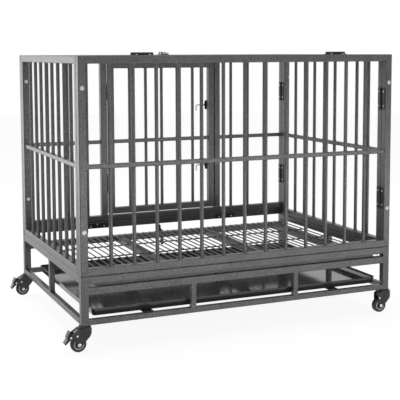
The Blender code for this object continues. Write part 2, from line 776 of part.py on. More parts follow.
def base_rails():
    """Return the tubes of the base that are welded to its posts."""
    step = WELD_STEP
    top = BASE_TOP - step
    inner_x = HALF_L - TUBE + WELD_DEPTH
    inner_y = HALF_W - TUBE + WELD_DEPTH
    thin_z = BASE_BOTTOM + THIN_TUBE
    rails = []
    for side in (-1, 1):
        floor_y = sorted((side * (HALF_W - step), side * (HALF_W - TUBE + step)))
        rails.append(((-inner_x, floor_y[0], FLOOR_RAIL_BOTTOM + step),
                      (inner_x, floor_y[1], FLOOR_RAIL_TOP - step)))
        low_y = sorted((side * (HALF_W - step), side * (HALF_W - THIN_TUBE)))
        rails.append(((-inner_x, low_y[0], BASE_BOTTOM + step), (inner_x, low_y[1], thin_z)))
        end_x = sorted((side * (HALF_L - step), side * (HALF_L - TUBE + step)))
        rails.append(((end_x[0], -inner_y, BASE_TOP - TUBE), (end_x[1], inner_y, top)))
        low_x = sorted((side * (HALF_L - step), side * (HALF_L - THIN_TUBE)))
        rails.append(((low_x[0], -inner_y, BASE_BOTTOM + step), (low_x[1], inner_y, thin_z)))
    rails.append(((-inner_x, -HALF_W + step, BASE_TOP - TUBE), (inner_x, -HALF_W + TUBE - step, top)))
    return rails


def base_uprights():
    """Return the short thin tubes between the base's rails."""
    half = THIN_TUBE / 2
    bay = CAGE_LENGTH / BASE_BAYS
    low = BASE_BOTTOM + THIN_TUBE - WELD_DEPTH
    step = 2 * WELD_STEP
    uprights = []
    for side in (-1, 1):
        x = side * bay / 2
        uprights.append(((x - half, -HALF_W + step, low),
                         (x + half, -HALF_W + THIN_TUBE - step, FLOOR_RAIL_BOTTOM + WELD_DEPTH)))
        reach = sorted((side * (HALF_L - step), side * (HALF_L - THIN_TUBE + step)))
        uprights.append(((reach[0], -half, low), (reach[1], half, BASE_TOP - TUBE + WELD_DEPTH)))
    return uprights


def floor_members():
    """Return the tubes under the wire floor, between the front and rear rails."""
    half = TUBE / 2
    reach = HALF_W - TUBE + WELD_DEPTH
    step = 2 * WELD_STEP
    bay = CAGE_LENGTH / BASE_BAYS
    outer = HALF_L - TUBE - SIDE_MEMBER_GAP - half
    return [((x - half, -reach, FLOOR_RAIL_BOTTOM + step), (x + half, reach, FLOOR_RAIL_TOP - step))
            for x in (-outer, -bay / 2, bay / 2, outer)]


def make_base_frame(finish):
    """Welded base of square tube with a post over each caster."""
    half = TUBE / 2
    pieces = []
    posts = post_places()
    for x, y in posts:
        pieces.append(box((x - half, y - half, BASE_BOTTOM), (x + half, y + half, BASE_TOP),
                          TUBE_ROUND))
    pieces += [box(low, high, TUBE_ROUND) for low, high in base_rails() + base_uprights()]
    pieces += [box(low, high) for low, high in floor_members()]
    body = weld("base", pieces)
    stems = [((x, y, BASE_BOTTOM - TUBE), (x, y, BASE_BOTTOM + STEM_LENGTH + SEAT_GAP))
             for x, y in posts]
    pegs = [((x, y, BASE_TOP + TUBE), (x, y, PANEL_BOTTOM - PANEL_PEG_LENGTH - SEAT_GAP))
            for x, y in posts]
    pivot = catch_pivot()
    cutters = [
        bores(stems, STEM_RADIUS + STEM_CLEARANCE),
        bores(pegs, PANEL_PEG_RADIUS + PEG_CLEARANCE),
        bores([(pivot - Vector((0, TUBE + WELD_DEPTH, 0)), pivot + Vector((0, TUBE, 0)))],
              CATCH_PIN_RADIUS + SEAT_GAP),
    ]
    return finish_part(cut("base", body, cutters), "base_frame", finish)


# Wire floor, tray, runners and catch

def spread(first, last, count):
    """Return evenly spaced places from the first to the last."""
    return [first + (last - first) * index / (count - 1) for index in range(count)]


def make_floor_grate(finish):
    """Welded wire floor: long wires pressed into a few cross rods."""
    rod_z = FLOOR_RAIL_TOP + SEAT_GAP + ROD_RADIUS
    wire_z = rod_z + ROD_RADIUS + WIRE_RADIUS - WIRE_BITE
    front, rear = -HALF_W + GRATE_FRONT_INSET, HALF_W - GRATE_REAR_INSET
    rod_half = HALF_L - TUBE - GRATE_END_GAP
    rows = spread(front + ROD_FRONT_MARGIN, rear - ROD_REAR_MARGIN, ROD_ROWS)
    rod_ends = [((-rod_half, y, rod_z), (rod_half, y, rod_z)) for y in rows]
    wire_half = rod_half - ROD_OVERHANG
    columns = spread(-wire_half, wire_half, round(2 * wire_half / WIRE_PITCH) + 1)
    wire_ends = [((x, front, wire_z), (x, rear, wire_z)) for x in columns]
    body = weld("grate", [rods(rod_ends, ROD_RADIUS, WIRE_SIDES),
                          rods(wire_ends, WIRE_RADIUS, WIRE_SIDES)])
    return finish_part(body, "floor_grate", finish)


def tray_corners():
    """Return the tray's lowest and highest corners."""
    half = HALF_L - TUBE - TRAY_END_GAP
    bottom = BASE_BOTTOM + THIN_TUBE + RUNNER_HEIGHT + 2 * SEAT_GAP
    return (Vector((-half, -HALF_W + TRAY_FRONT_INSET, bottom)),
            Vector((half, HALF_W - TRAY_REAR_INSET, bottom + TRAY_HEIGHT)))


def tapered_box(low, high, taper):
    """Return a box whose bottom is smaller than its top by a taper on each side."""
    bm = bmesh.new()
    verts = add_box(bm, low, high)
    middle = (Vector(low) + Vector(high)) / 2
    for vert in verts:
        if vert.co.z < middle.z:
            vert.co.x -= math.copysign(taper, vert.co.x - middle.x)
            vert.co.y -= math.copysign(taper, vert.co.y - middle.y)
    return bm


def make_tray(finish):
    """Shallow waste tray with sloping sides."""
    low, high = tray_corners()
    shell = tapered_box(low, high, TRAY_TAPER)
    round_sharp_edges(shell, TUBE_ROUND)
    body = from_bmesh("tray", shell)
    wall = Vector((TRAY_WALL, TRAY_WALL, TRAY_WALL))
    above = Vector((0, 0, TRAY_WALL + TUBE))
    hollow = from_bmesh("hollow", tapered_box(low + wall, high - wall + above, TRAY_TAPER))
    return finish_part(cut("tray", body, [hollow]), "tray", finish, low)


def make_tray_runners(finish):
    """Two flat runners across the base's bottom rails, under the tray."""
    bottom = BASE_BOTTOM + THIN_TUBE + SEAT_GAP
    for name, side in (("left", -1), ("right", 1)):
        x = side * (tray_corners()[1].x - RUNNER_INSET)
        made = box((x - RUNNER_WIDTH / 2, -HALF_W + WELD_STEP, bottom),
                   (x + RUNNER_WIDTH / 2, HALF_W - WELD_STEP, bottom + RUNNER_HEIGHT),
                   RUNNER_HEIGHT / 5)
        finish_part(made, "tray_runner_" + name, finish)


def catch_pivot():
    """Return the point where the swing catch turns on the rear rail's outer face."""
    return Vector((0.0, HALF_W, (FLOOR_RAIL_TOP + FLOOR_RAIL_BOTTOM) / 2))


def arc(centre, radius, start, end, count):
    """Return points on an arc, with angles in degrees."""
    steps = [math.radians(start + (end - start) * index / count) for index in range(count + 1)]
    return [(centre[0] + radius * math.cos(a), centre[1] + radius * math.sin(a)) for a in steps]


def button_profile(radius, height, bite):
    """Return the profile of a low domed head that bites into what it sits on."""
    return [(0.0, height), (radius * 0.65, height * 0.7), (radius, -bite), (0.0, -bite)]


def make_grate_catch(finish):
    """S-shaped swing catch that closes the gap behind the wire floor."""
    pivot = catch_pivot()
    half = CATCH_WIDTH / 2
    up, down = CATCH_UP - half, CATCH_DOWN - half
    outline = arc((-CATCH_OFFSET, up), half, 0, 180, 6)
    outline += arc((-CATCH_OFFSET + half, -half), CATCH_WIDTH, 180, 270, 4)[:-1]
    outline += arc((CATCH_OFFSET, -down), half, 180, 360, 6)
    outline += arc((CATCH_OFFSET - half, half), CATCH_WIDTH, 0, 90, 4)[:-1]
    points = [(pivot.x + u, pivot.z + v) for u, v in outline]
    start = pivot.y + SEAT_GAP
    plate = plate_outline(points, start, start + CATCH_THICK, LONG_SIDE)
    inner, outer = pivot.copy(), pivot.copy()
    inner.y -= TUBE + CATCH_PIN_END
    outer.y = start + CATCH_THICK / 2
    pin = rods([(inner, outer)], CATCH_PIN_RADIUS, BOLT_SIDES)
    head = turned(button_profile(CATCH_HEAD_RADIUS, CATCH_HEAD_HEIGHT, CATCH_THICK / 3), BOLT_SIDES,
                  (pivot.x, start + CATCH_THICK, pivot.z), (0, 1, 0))
    return finish_part(weld("catch", [plate, pin, head]), "grate_catch", finish, pivot)


# Casters

def make_caster_mount(name, post, finish):
    """Stem, swivel head and kingpin that stay with the post."""
    head_top = -SEAT_GAP
    head_low = head_top - HEAD_HEIGHT
    profile = [
        (0.0, STEM_LENGTH),
        (STEM_RADIUS, STEM_LENGTH),
        (STEM_RADIUS, head_top),
        (HEAD_RADIUS * 0.8, head_top),
        (HEAD_RADIUS, head_top - HEAD_HEIGHT * 0.4),
        (HEAD_RADIUS, head_low),
        (KINGPIN_RADIUS, head_low),
        (KINGPIN_RADIUS, head_low - KINGPIN_LENGTH),
        (0.0, head_low - KINGPIN_LENGTH),
    ]
    made = turned(profile, CASTER_SIDES, (post[0], post[1], BASE_BOTTOM), (0, 0, 1))
    return finish_part(made, name, finish)


def fork_outline(braked):
    """Return the fork's side outline as (x, z) points about the swivel axis at floor level."""
    axle = (-CASTER_TRAIL, WHEEL_RADIUS)
    points = [(-HEAD_RADIUS, FORK_TOP), (HEAD_RADIUS, FORK_TOP),
              (HEAD_RADIUS + FORK_NOSE, FORK_TOP - FORK_NOSE_DROP),
              (FORK_WAIST, FORK_TOP - FORK_WAIST_DROP)]
    points += arc(axle, FORK_EYE_RADIUS, -35, -215, 6)
    if braked:
        pivot = (axle[0] - PEDAL_PIVOT_BACK, axle[1] + PEDAL_PIVOT_UP)
        points.append((axle[0] + PEDAL_EAR_NECK[0], axle[1] + PEDAL_EAR_NECK[1]))
        points += arc(pivot, PEDAL_EAR_RADIUS, 250, 100, 5)
    else:
        back = axle[0] - FORK_BACK
        points += [(back, axle[1] + FORK_BACK_RISE), (back, FORK_TOP - FORK_CROWN)]
    return points


def make_caster_fork(name, post, braked, finish):
    """Pressed fork with two cheeks, the wheel's axle and the rivets of the brake."""
    top = FORK_TOP
    width = FORK_HALF_WIDTH
    outline = [(post[0] + x, z) for x, z in fork_outline(braked)]
    body = plate_outline(outline, post[1] - width, post[1] + width, LONG_SIDE)
    crown_low = top - FORK_CROWN + CROWN_OVERLAP
    crown_top = top - CROWN_OVERLAP
    crown = turned([(0.0, crown_top), (HEAD_RADIUS + PRESS_STEP, crown_top),
                    (HEAD_RADIUS - 2 * PRESS_STEP, crown_low), (0.0, crown_low)], CASTER_SIDES,
                   (post[0], post[1], 0.0), (0, 0, 1))
    body = weld("fork", [body, crown])
    slot_half = width - FORK_WALL
    slot = box((post[0] - HEAD_RADIUS - CASTER_HEIGHT, post[1] - slot_half, -WHEEL_RADIUS),
               (post[0] + HEAD_RADIUS - FORK_WALL, post[1] + slot_half, top - FORK_CROWN))
    pin_hole = bores([((post[0], post[1], top - 2 * FORK_CROWN), (post[0], post[1], top + FORK_CROWN))],
                     KINGPIN_RADIUS + KINGPIN_CLEARANCE)
    body = cut("fork", body, [slot, pin_hole])
    axle_x, axle_z = post[0] - CASTER_TRAIL, WHEEL_RADIUS
    reach = width + RIVET_STAND
    pieces = [body, rods([((axle_x, post[1] - reach, axle_z), (axle_x, post[1] + reach, axle_z))],
                         AXLE_RADIUS, BOLT_SIDES)]
    rivets = [(axle_x - SPACER_BACK, axle_z + WHEEL_RADIUS + RIVET_RADIUS + SPACER_GAP)]
    if braked:
        rivets.append((axle_x - PEDAL_PIVOT_BACK, axle_z + PEDAL_PIVOT_UP))
    pieces.append(rods([((x, post[1] - reach, z), (x, post[1] + reach, z)) for x, z in rivets],
                       RIVET_RADIUS, BOLT_SIDES))
    return finish_part(weld("fork", pieces), name, finish, (post[0], post[1], BASE_BOTTOM))


def make_caster_wheel(name, post, finish):
    """Tyre and hub with a running bore for the axle."""
    half = WHEEL_HALF_WIDTH
    bore = AXLE_RADIUS + AXLE_CLEARANCE
    side = [(bore, half), (WHEEL_HUB_RADIUS, half), (WHEEL_WEB_RADIUS, half - WHEEL_WEB_DEPTH),
            (WHEEL_RIM_RADIUS, half), (WHEEL_RADIUS, half - WHEEL_TREAD_ROUND)]
    profile = side + [(radius, -distance) for radius, distance in reversed(side)]
    centre = (post[0] - CASTER_TRAIL, post[1], WHEEL_RADIUS)
    return finish_part(turned(profile, WHEEL_STEPS, centre, (0, 1, 0)), name, finish, centre)


def pedal_outline():
    """Return the pedal's side outline as (x, z) points about its pivot."""
    points = arc((0.0, 0.0), PEDAL_HUB_RADIUS, -60, 40, 3)
    points += arc(PEDAL_UPPER_TIP, PEDAL_TIP_RADIUS, 10, 160, 3)
    points += arc(PEDAL_HEEL, PEDAL_HUB_RADIUS, 160, 215, 2)
    points += arc(PEDAL_LOWER_TIP, PEDAL_TIP_RADIUS, 145, 325, 4)
    return points


def make_brake_pedal(name, post, finish):
    """Rocker with an upper and a lower tread on a hub between the fork's cheeks."""
    half = FORK_HALF_WIDTH - FORK_WALL - SEAT_GAP
    pivot = Vector((post[0] - CASTER_TRAIL - PEDAL_PIVOT_BACK, post[1],
                    WHEEL_RADIUS + PEDAL_PIVOT_UP))
    across = Vector((0, half, 0))
    outline = [(pivot.x + x, pivot.z + z) for x, z in pedal_outline()]
    body = plate_outline(outline, pivot.y - half, pivot.y + half, LONG_SIDE)
    bore = bores([(pivot - 2 * across, pivot + 2 * across)], RIVET_RADIUS + SEAT_GAP)
    return finish_part(cut("pedal", body, [bore]), name, finish, pivot)


def make_casters(finishes):
    """A swivel caster under each post; the two on the left have brakes."""
    for corner, side_x, side_y in corners():
        post = (side_x * POST_X, side_y * POST_Y)
        braked = side_x < 0
        name = "caster_" + corner
        make_caster_mount(name + "_mount", post, finishes["caster_black"])
        make_caster_fork(name + "_fork", post, braked, finishes["caster_black"])
        make_caster_wheel(name + "_wheel", post, finishes["tread_black"])
        if braked:
            make_brake_pedal(name + "_pedal", post, finishes["caster_black"])


# The whole cage

CAGE_NAME = "dog_cage"


def clear_scene():
    """Remove every object and start the cage's own collection."""
    for old in list(bpy.data.objects):
        bpy.data.objects.remove(old)
    made = bpy.data.collections.new(CAGE_NAME)
    bpy.context.scene.collection.children.link(made)


def build():
    """Build every piece of the cage."""
    clear_scene()
    finishes = make_materials()
    grey = finishes["hammer_grey"]
    black = finishes["black_steel"]
    make_front_panel(grey)
    make_end_panel("left_end_panel", -1, grey)
    make_end_panel("right_end_panel", 1, grey)
    make_rear_panel(grey)
    make_door(grey)
    make_lid(grey)
    make_hinges(black)
    make_latches(black, finishes["zinc"])
    make_corner_hardware(black, finishes["zinc"])
    make_base_frame(grey)
    make_floor_grate(grey)
    make_tray(finishes["tray_black"])
    make_tray_runners(black)
    make_grate_catch(black)
    make_casters(finishes)


build()
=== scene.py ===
"""Looks of the barred dog cage: painted tube and bar, welded wire, screws, rivets and casters.

Everything is in metres in the frame's own axes: X along the long side, Y towards the side
with the door, Z up, with the origin on the floor under the middle of the cage.
"""

import json
import math
import random

import bmesh
import bpy
from mathutils import Matrix, Vector


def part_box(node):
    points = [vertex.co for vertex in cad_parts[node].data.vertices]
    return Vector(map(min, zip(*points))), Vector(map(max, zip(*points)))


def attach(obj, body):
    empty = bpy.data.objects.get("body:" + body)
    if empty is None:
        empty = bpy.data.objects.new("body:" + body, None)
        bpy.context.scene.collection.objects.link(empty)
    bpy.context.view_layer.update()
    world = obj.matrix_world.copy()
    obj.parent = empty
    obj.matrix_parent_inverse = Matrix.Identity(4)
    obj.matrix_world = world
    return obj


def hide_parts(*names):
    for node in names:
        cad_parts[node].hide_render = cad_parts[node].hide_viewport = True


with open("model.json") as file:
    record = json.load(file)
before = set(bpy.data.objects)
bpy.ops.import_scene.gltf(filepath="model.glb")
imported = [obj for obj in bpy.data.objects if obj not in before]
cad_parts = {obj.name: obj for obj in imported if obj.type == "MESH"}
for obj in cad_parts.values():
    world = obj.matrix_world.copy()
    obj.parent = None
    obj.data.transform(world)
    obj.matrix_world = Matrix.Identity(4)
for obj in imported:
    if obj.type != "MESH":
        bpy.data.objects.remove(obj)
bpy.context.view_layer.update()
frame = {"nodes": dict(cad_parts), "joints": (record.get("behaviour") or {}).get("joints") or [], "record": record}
chance = random.Random(11)

# Camera of the photograph
CAMERA_PLACE = (-1.113, -2.563, 0.755)
CAMERA_YAW = math.radians(23.55)
CAMERA_PITCH = math.radians(5.33)
CAMERA_ROLL = math.radians(-0.19)
CAMERA_SHIFT = -0.15
FOCAL_PIXELS = 939.6
IMAGE_PIXELS = 400.0
SENSOR_WIDTH = 36.0

# Sizes that the frame's nodes give
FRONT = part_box("front_panel")
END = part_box("left_end_panel")
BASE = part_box("base_frame")
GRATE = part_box("floor_grate")
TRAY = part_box("tray")
FORK_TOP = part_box("caster_front_left_fork")[1].z
HALF_L = FRONT[1].x
HALF_W = -FRONT[0].y
TUBE = FRONT[1].y - FRONT[0].y
PANEL_TOP = END[1].z
PANEL_BOTTOM = END[0].z
PEG_END = FRONT[0].z
BASE_BOTTOM = BASE[0].z
BASE_TOP = BASE[1].z
POST_X = HALF_L - TUBE / 2
POST_Y = HALF_W - TUBE / 2
MID_RAIL_Z = (PANEL_TOP + PANEL_BOTTOM) / 2
SEAT_GAP = 0.0003
FLOOR_RAIL_BOTTOM = GRATE[0].z - SEAT_GAP - TUBE
PIVOTS = {joint["name"]: joint.get("pos_m") for joint in frame["joints"]}
AXES = {"x": Vector((1, 0, 0)), "y": Vector((0, 1, 0)), "z": Vector((0, 0, 1))}
UPRIGHT = Matrix(((0, 0, 1, 0), (1, 0, 0, 0), (0, 1, 0, 0), (0, 0, 0, 1)))

# Sizes of the welded frames
THIN_TUBE = 0.015
MID_RAIL = 0.012
TUBE_CORNER = 0.0021
THIN_CORNER = 0.0016
FLUSH_STEP = 0.00015
MITRE_DEPTH = 0.0006
MITRE_GAP = 0.0011
MITRE_LIMIT = 0.3
BROKEN_EDGE = 0.0004
FINE_EDGE = 0.0003
BAR_RADIUS = 0.005
BAR_SIDES = 20
ROD_SIDES = 16
TURNED_SIDES = 24
BAR_BEAD = 0.0011
TUBE_BEAD = 0.0008
WELD_SINK = 0.003
BEAD_PROFILE = ((-0.0004, 1.0), (0.0007, 0.9), (0.0017, 0.4), (0.0028, 0.0), (0.0036, 0.0))
HOLD_SHARE = 0.2
BEAD_SPREAD = (0.55, 1.25)
LONG_BARS = 13
END_BARS = 8
DOOR_BARS = 5
DOOR_OUTER_BARS = 3
DOORWAY_HALF = 0.189
BASE_BAYS = 3
SIDE_MEMBER_GAP = 0.0225
PEG_TIP_SHARE = (0.8, 0.2)
SHARP_ANGLE = math.radians(35)
PRESSED_SHARP_ANGLE = math.radians(42)
PLAIN_SHARP_ANGLE = math.radians(50)

# Wire floor and tray
WIRE_RADIUS = 0.0018
ROD_RADIUS = 0.0020
WIRE_PITCH = 0.021
WIRE_SIDES = 10
WIRE_BURR = 0.0004
WIRE_NIP = 0.0024
WIRE_SWELL = 0.00035
ROD_ROWS = 5
EDGE_STRIP_HALF = 0.415
EDGE_STRIP = 0.0015
EDGE_STRIP_CORNER = EDGE_STRIP * 0.3
ROD_FRONT_MARGIN = 0.036
ROD_REAR_MARGIN = 0.018
ROD_OVERHANG = 0.006
TRAY_WALL = 0.0015
TRAY_TAPER = 0.004
TRAY_BEND = 0.0022
TRAY_ROLL = 0.0012
TRAY_LIP = 0.0016
TRAY_CORNER = 0.012
TRAY_OUTER_BEND = ((3.0, 0.0), (2.0, 0.0), (0.6, 0.1), (0.1, 0.6), (0.0, 1.0))
TRAY_INNER_BEND = ((0.0, 1.0), (0.3, 0.3), (1.0, 0.0), (2.0, 0.0))
TRAY_ROLLED_LIP = ((0.5, 1.9), (0.0, 1.2), (0.2, 0.4), (0.8, 0.0), (1.6, 0.2))

# Small hardware
SCREW_RADIUS = 0.0027
SCREW_HEIGHT = 0.0013
SCREW_SIDES = 32
SCREW_RIM = ((0.98, -0.2), (1.0, 0.25), (0.94, 0.6), (0.78, 0.88), (0.55, 1.0))
SCREW_TURN = 1.5
CROSS_RECESS = (0.14, 0.34)
SOCKET_RECESS = (0.5, 0.08)
RECESS_TAPER = 0.04
RECESS_FLOOR = 0.25
RIVET_DOME = ((1.0, -0.3), (1.0, 0.2), (0.9, 0.6), (0.65, 0.88), (0.3, 1.0))
HINGE_BARREL = 0.004
HINGE_PIN = 0.0017
HINGE_REACH = 0.0165
HINGE_SHEET = 0.0015
HINGE_CLEAR = 0.0006
HINGE_CORNER = 0.0035
HINGE_EDGE = 0.0005
HINGE_WRAP = HINGE_BARREL / 4
HINGE_SCREW_SHARE = 0.3
HINGE_ROLL_END = (
    (HINGE_PIN * 0.6, HINGE_EDGE / 2), (HINGE_PIN, HINGE_EDGE), (HINGE_PIN, 0.0),
    (HINGE_BARREL - HINGE_EDGE, 0.0), (HINGE_BARREL, HINGE_EDGE))
LATCH_SHEET = 0.0012
LATCH_HALF = 0.015
LATCH_CORNER = 0.0025
LUG_FOOT = 0.006
LUG_HALF = 0.0046
LUG_TOP = 0.009
LUG_ROUND = 0.0042
LUG_LENGTH = 0.005
LUG_SIDE = (
    (LUG_FOOT, LATCH_SHEET / 2, 0.0), (LUG_FOOT, LATCH_SHEET * 1.6, 0.0003),
    (LUG_HALF, LATCH_SHEET * 1.9, 0.0004), (LUG_HALF, LUG_TOP, LUG_ROUND))
LATCH_SCREW_PLACES = ((-0.38, -0.62), (-0.72, 0.72))
LATCH_SCREW_SHARE = 0.85
BOLT_RADIUS = 0.0025
BOLT_LEVEL = 0.0045
BOLT_HANDLE = 0.020
BOLT_BEND = 0.005
ROD_END_SHARE = 0.6
KEEPER_SHEET = 0.0014
KEEPER_LEG = 0.0040
KEEPER_BEND = 0.0021
CORNER_BARREL = 0.0029
CORNER_LEAF_CORNER = 0.0028
CORNER_SCREW_SHARES = (0.64, 0.62)
KNUCKLE_GROOVE = 0.0004
KNUCKLE_WAIST = CORNER_BARREL * 0.75
KNUCKLE_END = CORNER_BARREL * 0.7
KNUCKLE_JOINT = ((CORNER_BARREL, -2), (KNUCKLE_WAIST, -1), (KNUCKLE_WAIST, 0), (CORNER_BARREL, 1))
WASHER_PROFILE = ((0.97, 0.0), (1.0, 0.1), (0.97, 0.2), (0.7, 0.22))
WASHER_SHARE = 0.2
BOLT_HEAD_SHARES = (0.86, 0.8)
NUT_RADIUS = 0.0055
NUT_HEIGHT = 0.005
NUT_EDGE = 0.0005
THREAD_RADIUS = 0.003
THREAD_ROOT = THREAD_RADIUS * 0.86
THREAD_TIP = THREAD_RADIUS * 0.8
THREAD_TURNS = 3
SILL_PLATE_LENGTH = 0.070
SILL_PLATE_HEIGHT = 0.016
SILL_PLATE_THICK = 0.002
SILL_PLATE_OFFSET = 0.037
SILL_PLATE_CORNER = 0.002
SILL_SCREWS = ((-0.32, -0.18), (0.0, 0.18), (0.32, -0.18))
CATCH_THICK = 0.003
CATCH_WIDTH = 0.010
CATCH_OFFSET = 0.005
CATCH_HEAD = 0.0045
CATCH_EDGE = 0.0007

# Casters
TRAIL = 0.017
WHEEL_RADIUS = 0.0205
WHEEL_HUB = 0.0072
WHEEL_DISH = 0.0026
RING_INNER = 0.0102
RING_OUTER = 0.0137
AXLE_RADIUS = 0.003
AXLE = (-TRAIL, WHEEL_RADIUS)
AXLE_CAP = 0.0046
STEM_RADIUS = 0.005
STEM_EDGE = 0.001
KINGPIN_RADIUS = 0.004
RACE_GAP = 0.0006
RACE_SEAT = 0.0001
HEAD_RADIUS = 0.0170
HEAD_SHOULDER = ((0.62, 0.0), (0.80, 0.0003), (0.93, 0.0012), (0.99, 0.0026))
HEAD_SKIRT = ((1.0, 0.0006), (0.985, 0.0), (0.90, 0.0), (0.88, 0.0008))
RACE_SIDE = ((0.86, 0.0007), (0.955, 0.0002), (0.975, -0.0002))
CASTER_SIDES = 40
FORK_HALF = 0.0128
FORK_WALL = 0.0024
FORK_ROOF = 0.0030
PRESS_STEP = 0.0002
FORK_CROWN = 0.0065
FORK_NOSE = 0.0008
FORK_NOSE_DROP = 0.010
FORK_WAIST = 0.0135
FORK_WAIST_DROP = 0.019
FORK_EYE = 0.0075
FORK_BACK = 0.0085
FORK_BACK_RISE = 0.020
FORK_BEND = 0.0075
CROWN_PROFILE = (
    (HEAD_RADIUS * 0.90, FORK_TOP), (HEAD_RADIUS * 0.985, FORK_TOP - 0.0006),
    (HEAD_RADIUS + PRESS_STEP, FORK_TOP - 0.0020), (HEAD_RADIUS, FORK_TOP - FORK_ROOF))
FORK_FRONT_BENDS = (0.0, 0.0025, 0.006, 0.0)
FORK_BACK_BENDS = (0.0, 0.0, 0.003, 0.0)
FORK_EDGE = 0.0006
FORK_EDGE_ANGLE = math.radians(38)
PRESS_EDGE = 0.0001
HOOD_SHARE = 0.45
HOOD_SHEET = 0.0018
RIVET_HEAD = 0.0029
RIVET_STAND = 0.0012
CAP_PROFILE = ((1.0, -1 / 3), (1.0, 0.5), (0.88, 0.8), (0.6, 1.0), (0.34, 1.0), (0.26, 0.3))
SPACER_BACK = 0.005
SPACER_UP = 0.0233
PEDAL_BACK = 0.0215
PEDAL_UP = 0.0210
PEDAL_PIVOT = (AXLE[0] - PEDAL_BACK, AXLE[1] + PEDAL_UP)
SPACER_SPOT = (AXLE[0] - SPACER_BACK, AXLE[1] + SPACER_UP)
EAR_RADIUS = 0.0052
EAR_NECK = (-0.010, 0.011)
PEDAL_HUB = 0.0048
PEDAL_TIP = 0.0022
PEDAL_UPPER = (-0.0014, 0.0126)
PEDAL_LOWER = (-0.0134, -0.0156)
PEDAL_HEEL = (-0.0048, -0.0006)
PEDAL_RIBS = 4
PEDAL_RIB_HEIGHT = 0.0006
PEDAL_EDGE = 0.0005
TYRE_SIDES = 56
TYRE_PROFILE = (
    (AXLE_RADIUS + SEAT_GAP, 0.0), (WHEEL_HUB * 0.9, 0.0), (WHEEL_HUB, 0.0006),
    (WHEEL_HUB + 0.0006, WHEEL_DISH), (RING_INNER - 0.0006, WHEEL_DISH), (RING_INNER, 0.0010),
    (RING_OUTER, 0.0008), (RING_OUTER + 0.0008, 0.0), (WHEEL_RADIUS - 0.0034, 0.0),
    (WHEEL_RADIUS - 0.0016, 0.0009), (WHEEL_RADIUS - 0.0005, 0.0026), (WHEEL_RADIUS, 0.0055))
RING_PROFILE = (
    (RING_INNER, 0.0016), (RING_INNER + 0.0002, 0.0006), (RING_INNER + 0.0010, 0.0001),
    (RING_OUTER - 0.0010, 0.0001), (RING_OUTER - 0.0002, 0.0005), (RING_OUTER, 0.0016))


# Floor, surroundings and lamps
WHITE = (1.0, 1.0, 1.0, 1.0)
FLOOR_GLOW = 0.75
FLOOR_WHITE = 1.22
FLOOR_RADIUS = 9.0
SOFT_GREY = (0.8, 0.8, 0.8, 1.0)
SOFT_LIGHT = (0.12, 0.36)
SOFT_RANGE = (-0.35, 0.65)
LAMPS = (
    ("key_left", (-1.4, 1.55, 0.45), (-0.46, 0.0, 0.35), (1.3, 0.9), 6.5),
    ("top_soft", (-0.2, 0.3, 3.0), (0.0, 0.0, 0.4), (2.0, 2.0), 30.0),
    ("front_low", (0.6, -1.9, 0.12), (0.0, -0.3, 0.15), (1.8, 0.2), 6.0),
)


# Materials

class Nodes:
    """Small helper that adds shader nodes to a material or world and links them."""

    def __init__(self, owner):
        owner.use_nodes = True
        self.tree = owner.node_tree
        self.shader = self.tree.nodes.get("Principled BSDF")
        self.place = self.add("TexCoord").outputs

    def fill(self, socket, value):
        """Link an input to another node's output, or set its value."""
        if isinstance(value, bpy.types.NodeSocket):
            self.tree.links.new(value, socket)
        else:
            socket.default_value = value

    def add(self, kind, links=None, **settings):
        """Add a node, set its properties and link or set its inputs."""
        node = self.tree.nodes.new("ShaderNode" + kind)
        for key, value in settings.items():
            setattr(node, key, value)
        for key, value in (links or {}).items():
            self.fill(node.inputs[key], value)
        return node

    def set(self, **inputs):
        """Set or link inputs of the main shader; underscores stand for spaces."""
        for key, value in inputs.items():
            self.fill(self.shader.inputs[key.replace("_", " ")], value)

    def noise(self, scale, detail=2.0, rough=0.5):
        """Return the factor of a noise texture with so many cells in a metre."""
        links = {"Vector": self.place["Object"], "Scale": scale, "Detail": detail, "Roughness": rough}
        return self.add("TexNoise", links).outputs[0]

    def ramp(self, factor, *stops):
        """Return a colour ramp of a factor; each stop is (position, colour)."""
        node = self.add("ValToRGB", {"Fac": factor})
        for element, (position, colour) in zip(node.color_ramp.elements, stops):
            element.position = position
            element.color = (*colour, 1.0)
        return node.outputs["Color"]

    def span(self, factor, low, high, start=0.0, end=1.0, kind="LINEAR"):
        """Return a factor mapped from start..end to low..high."""
        links = {"Value": factor, "From Min": start, "From Max": end, "To Min": low, "To Max": high}
        return self.add("MapRange", links, interpolation_type=kind).outputs["Result"]

    def mix(self, factor, first, second, blend="MIX"):
        """Return a mix of two colours."""
        node = self.add("Mix", data_type="RGBA", blend_type=blend)
        for socket in node.inputs:
            if socket.identifier in ("Factor_Float", "A_Color", "B_Color"):
                self.fill(socket, {"F": factor, "A": first, "B": second}[socket.identifier[0]])
        return next(item for item in node.outputs if item.identifier == "Result_Color")

    def bump(self, height, distance, strength):
        """Return a bumped normal; distance is the height of the relief in metres."""
        links = {"Height": height, "Distance": distance, "Strength": strength}
        return self.add("Bump", links).outputs["Normal"]

    def show(self, factor, usual, background):
        """Send a mix of two shaders to the output."""
        both = self.add("MixShader", {0: factor, 1: usual.outputs[0], 2: background.outputs[0]})
        output = next(node for node in self.tree.nodes if node.type.startswith("OUTPUT_"))
        self.tree.links.new(both.outputs[0], output.inputs["Surface"])

    def background_rays(self):
        """Return 1 for the rays that see the white background, and 0 for the others."""
        seen = self.add("LightPath").outputs
        share = seen["Is Camera Ray"]
        for kind in ("Is Glossy Ray", "Is Transmission Ray"):
            share = self.add("Math", {0: share, 1: seen[kind]}, operation="MAXIMUM").outputs[0]
        return share


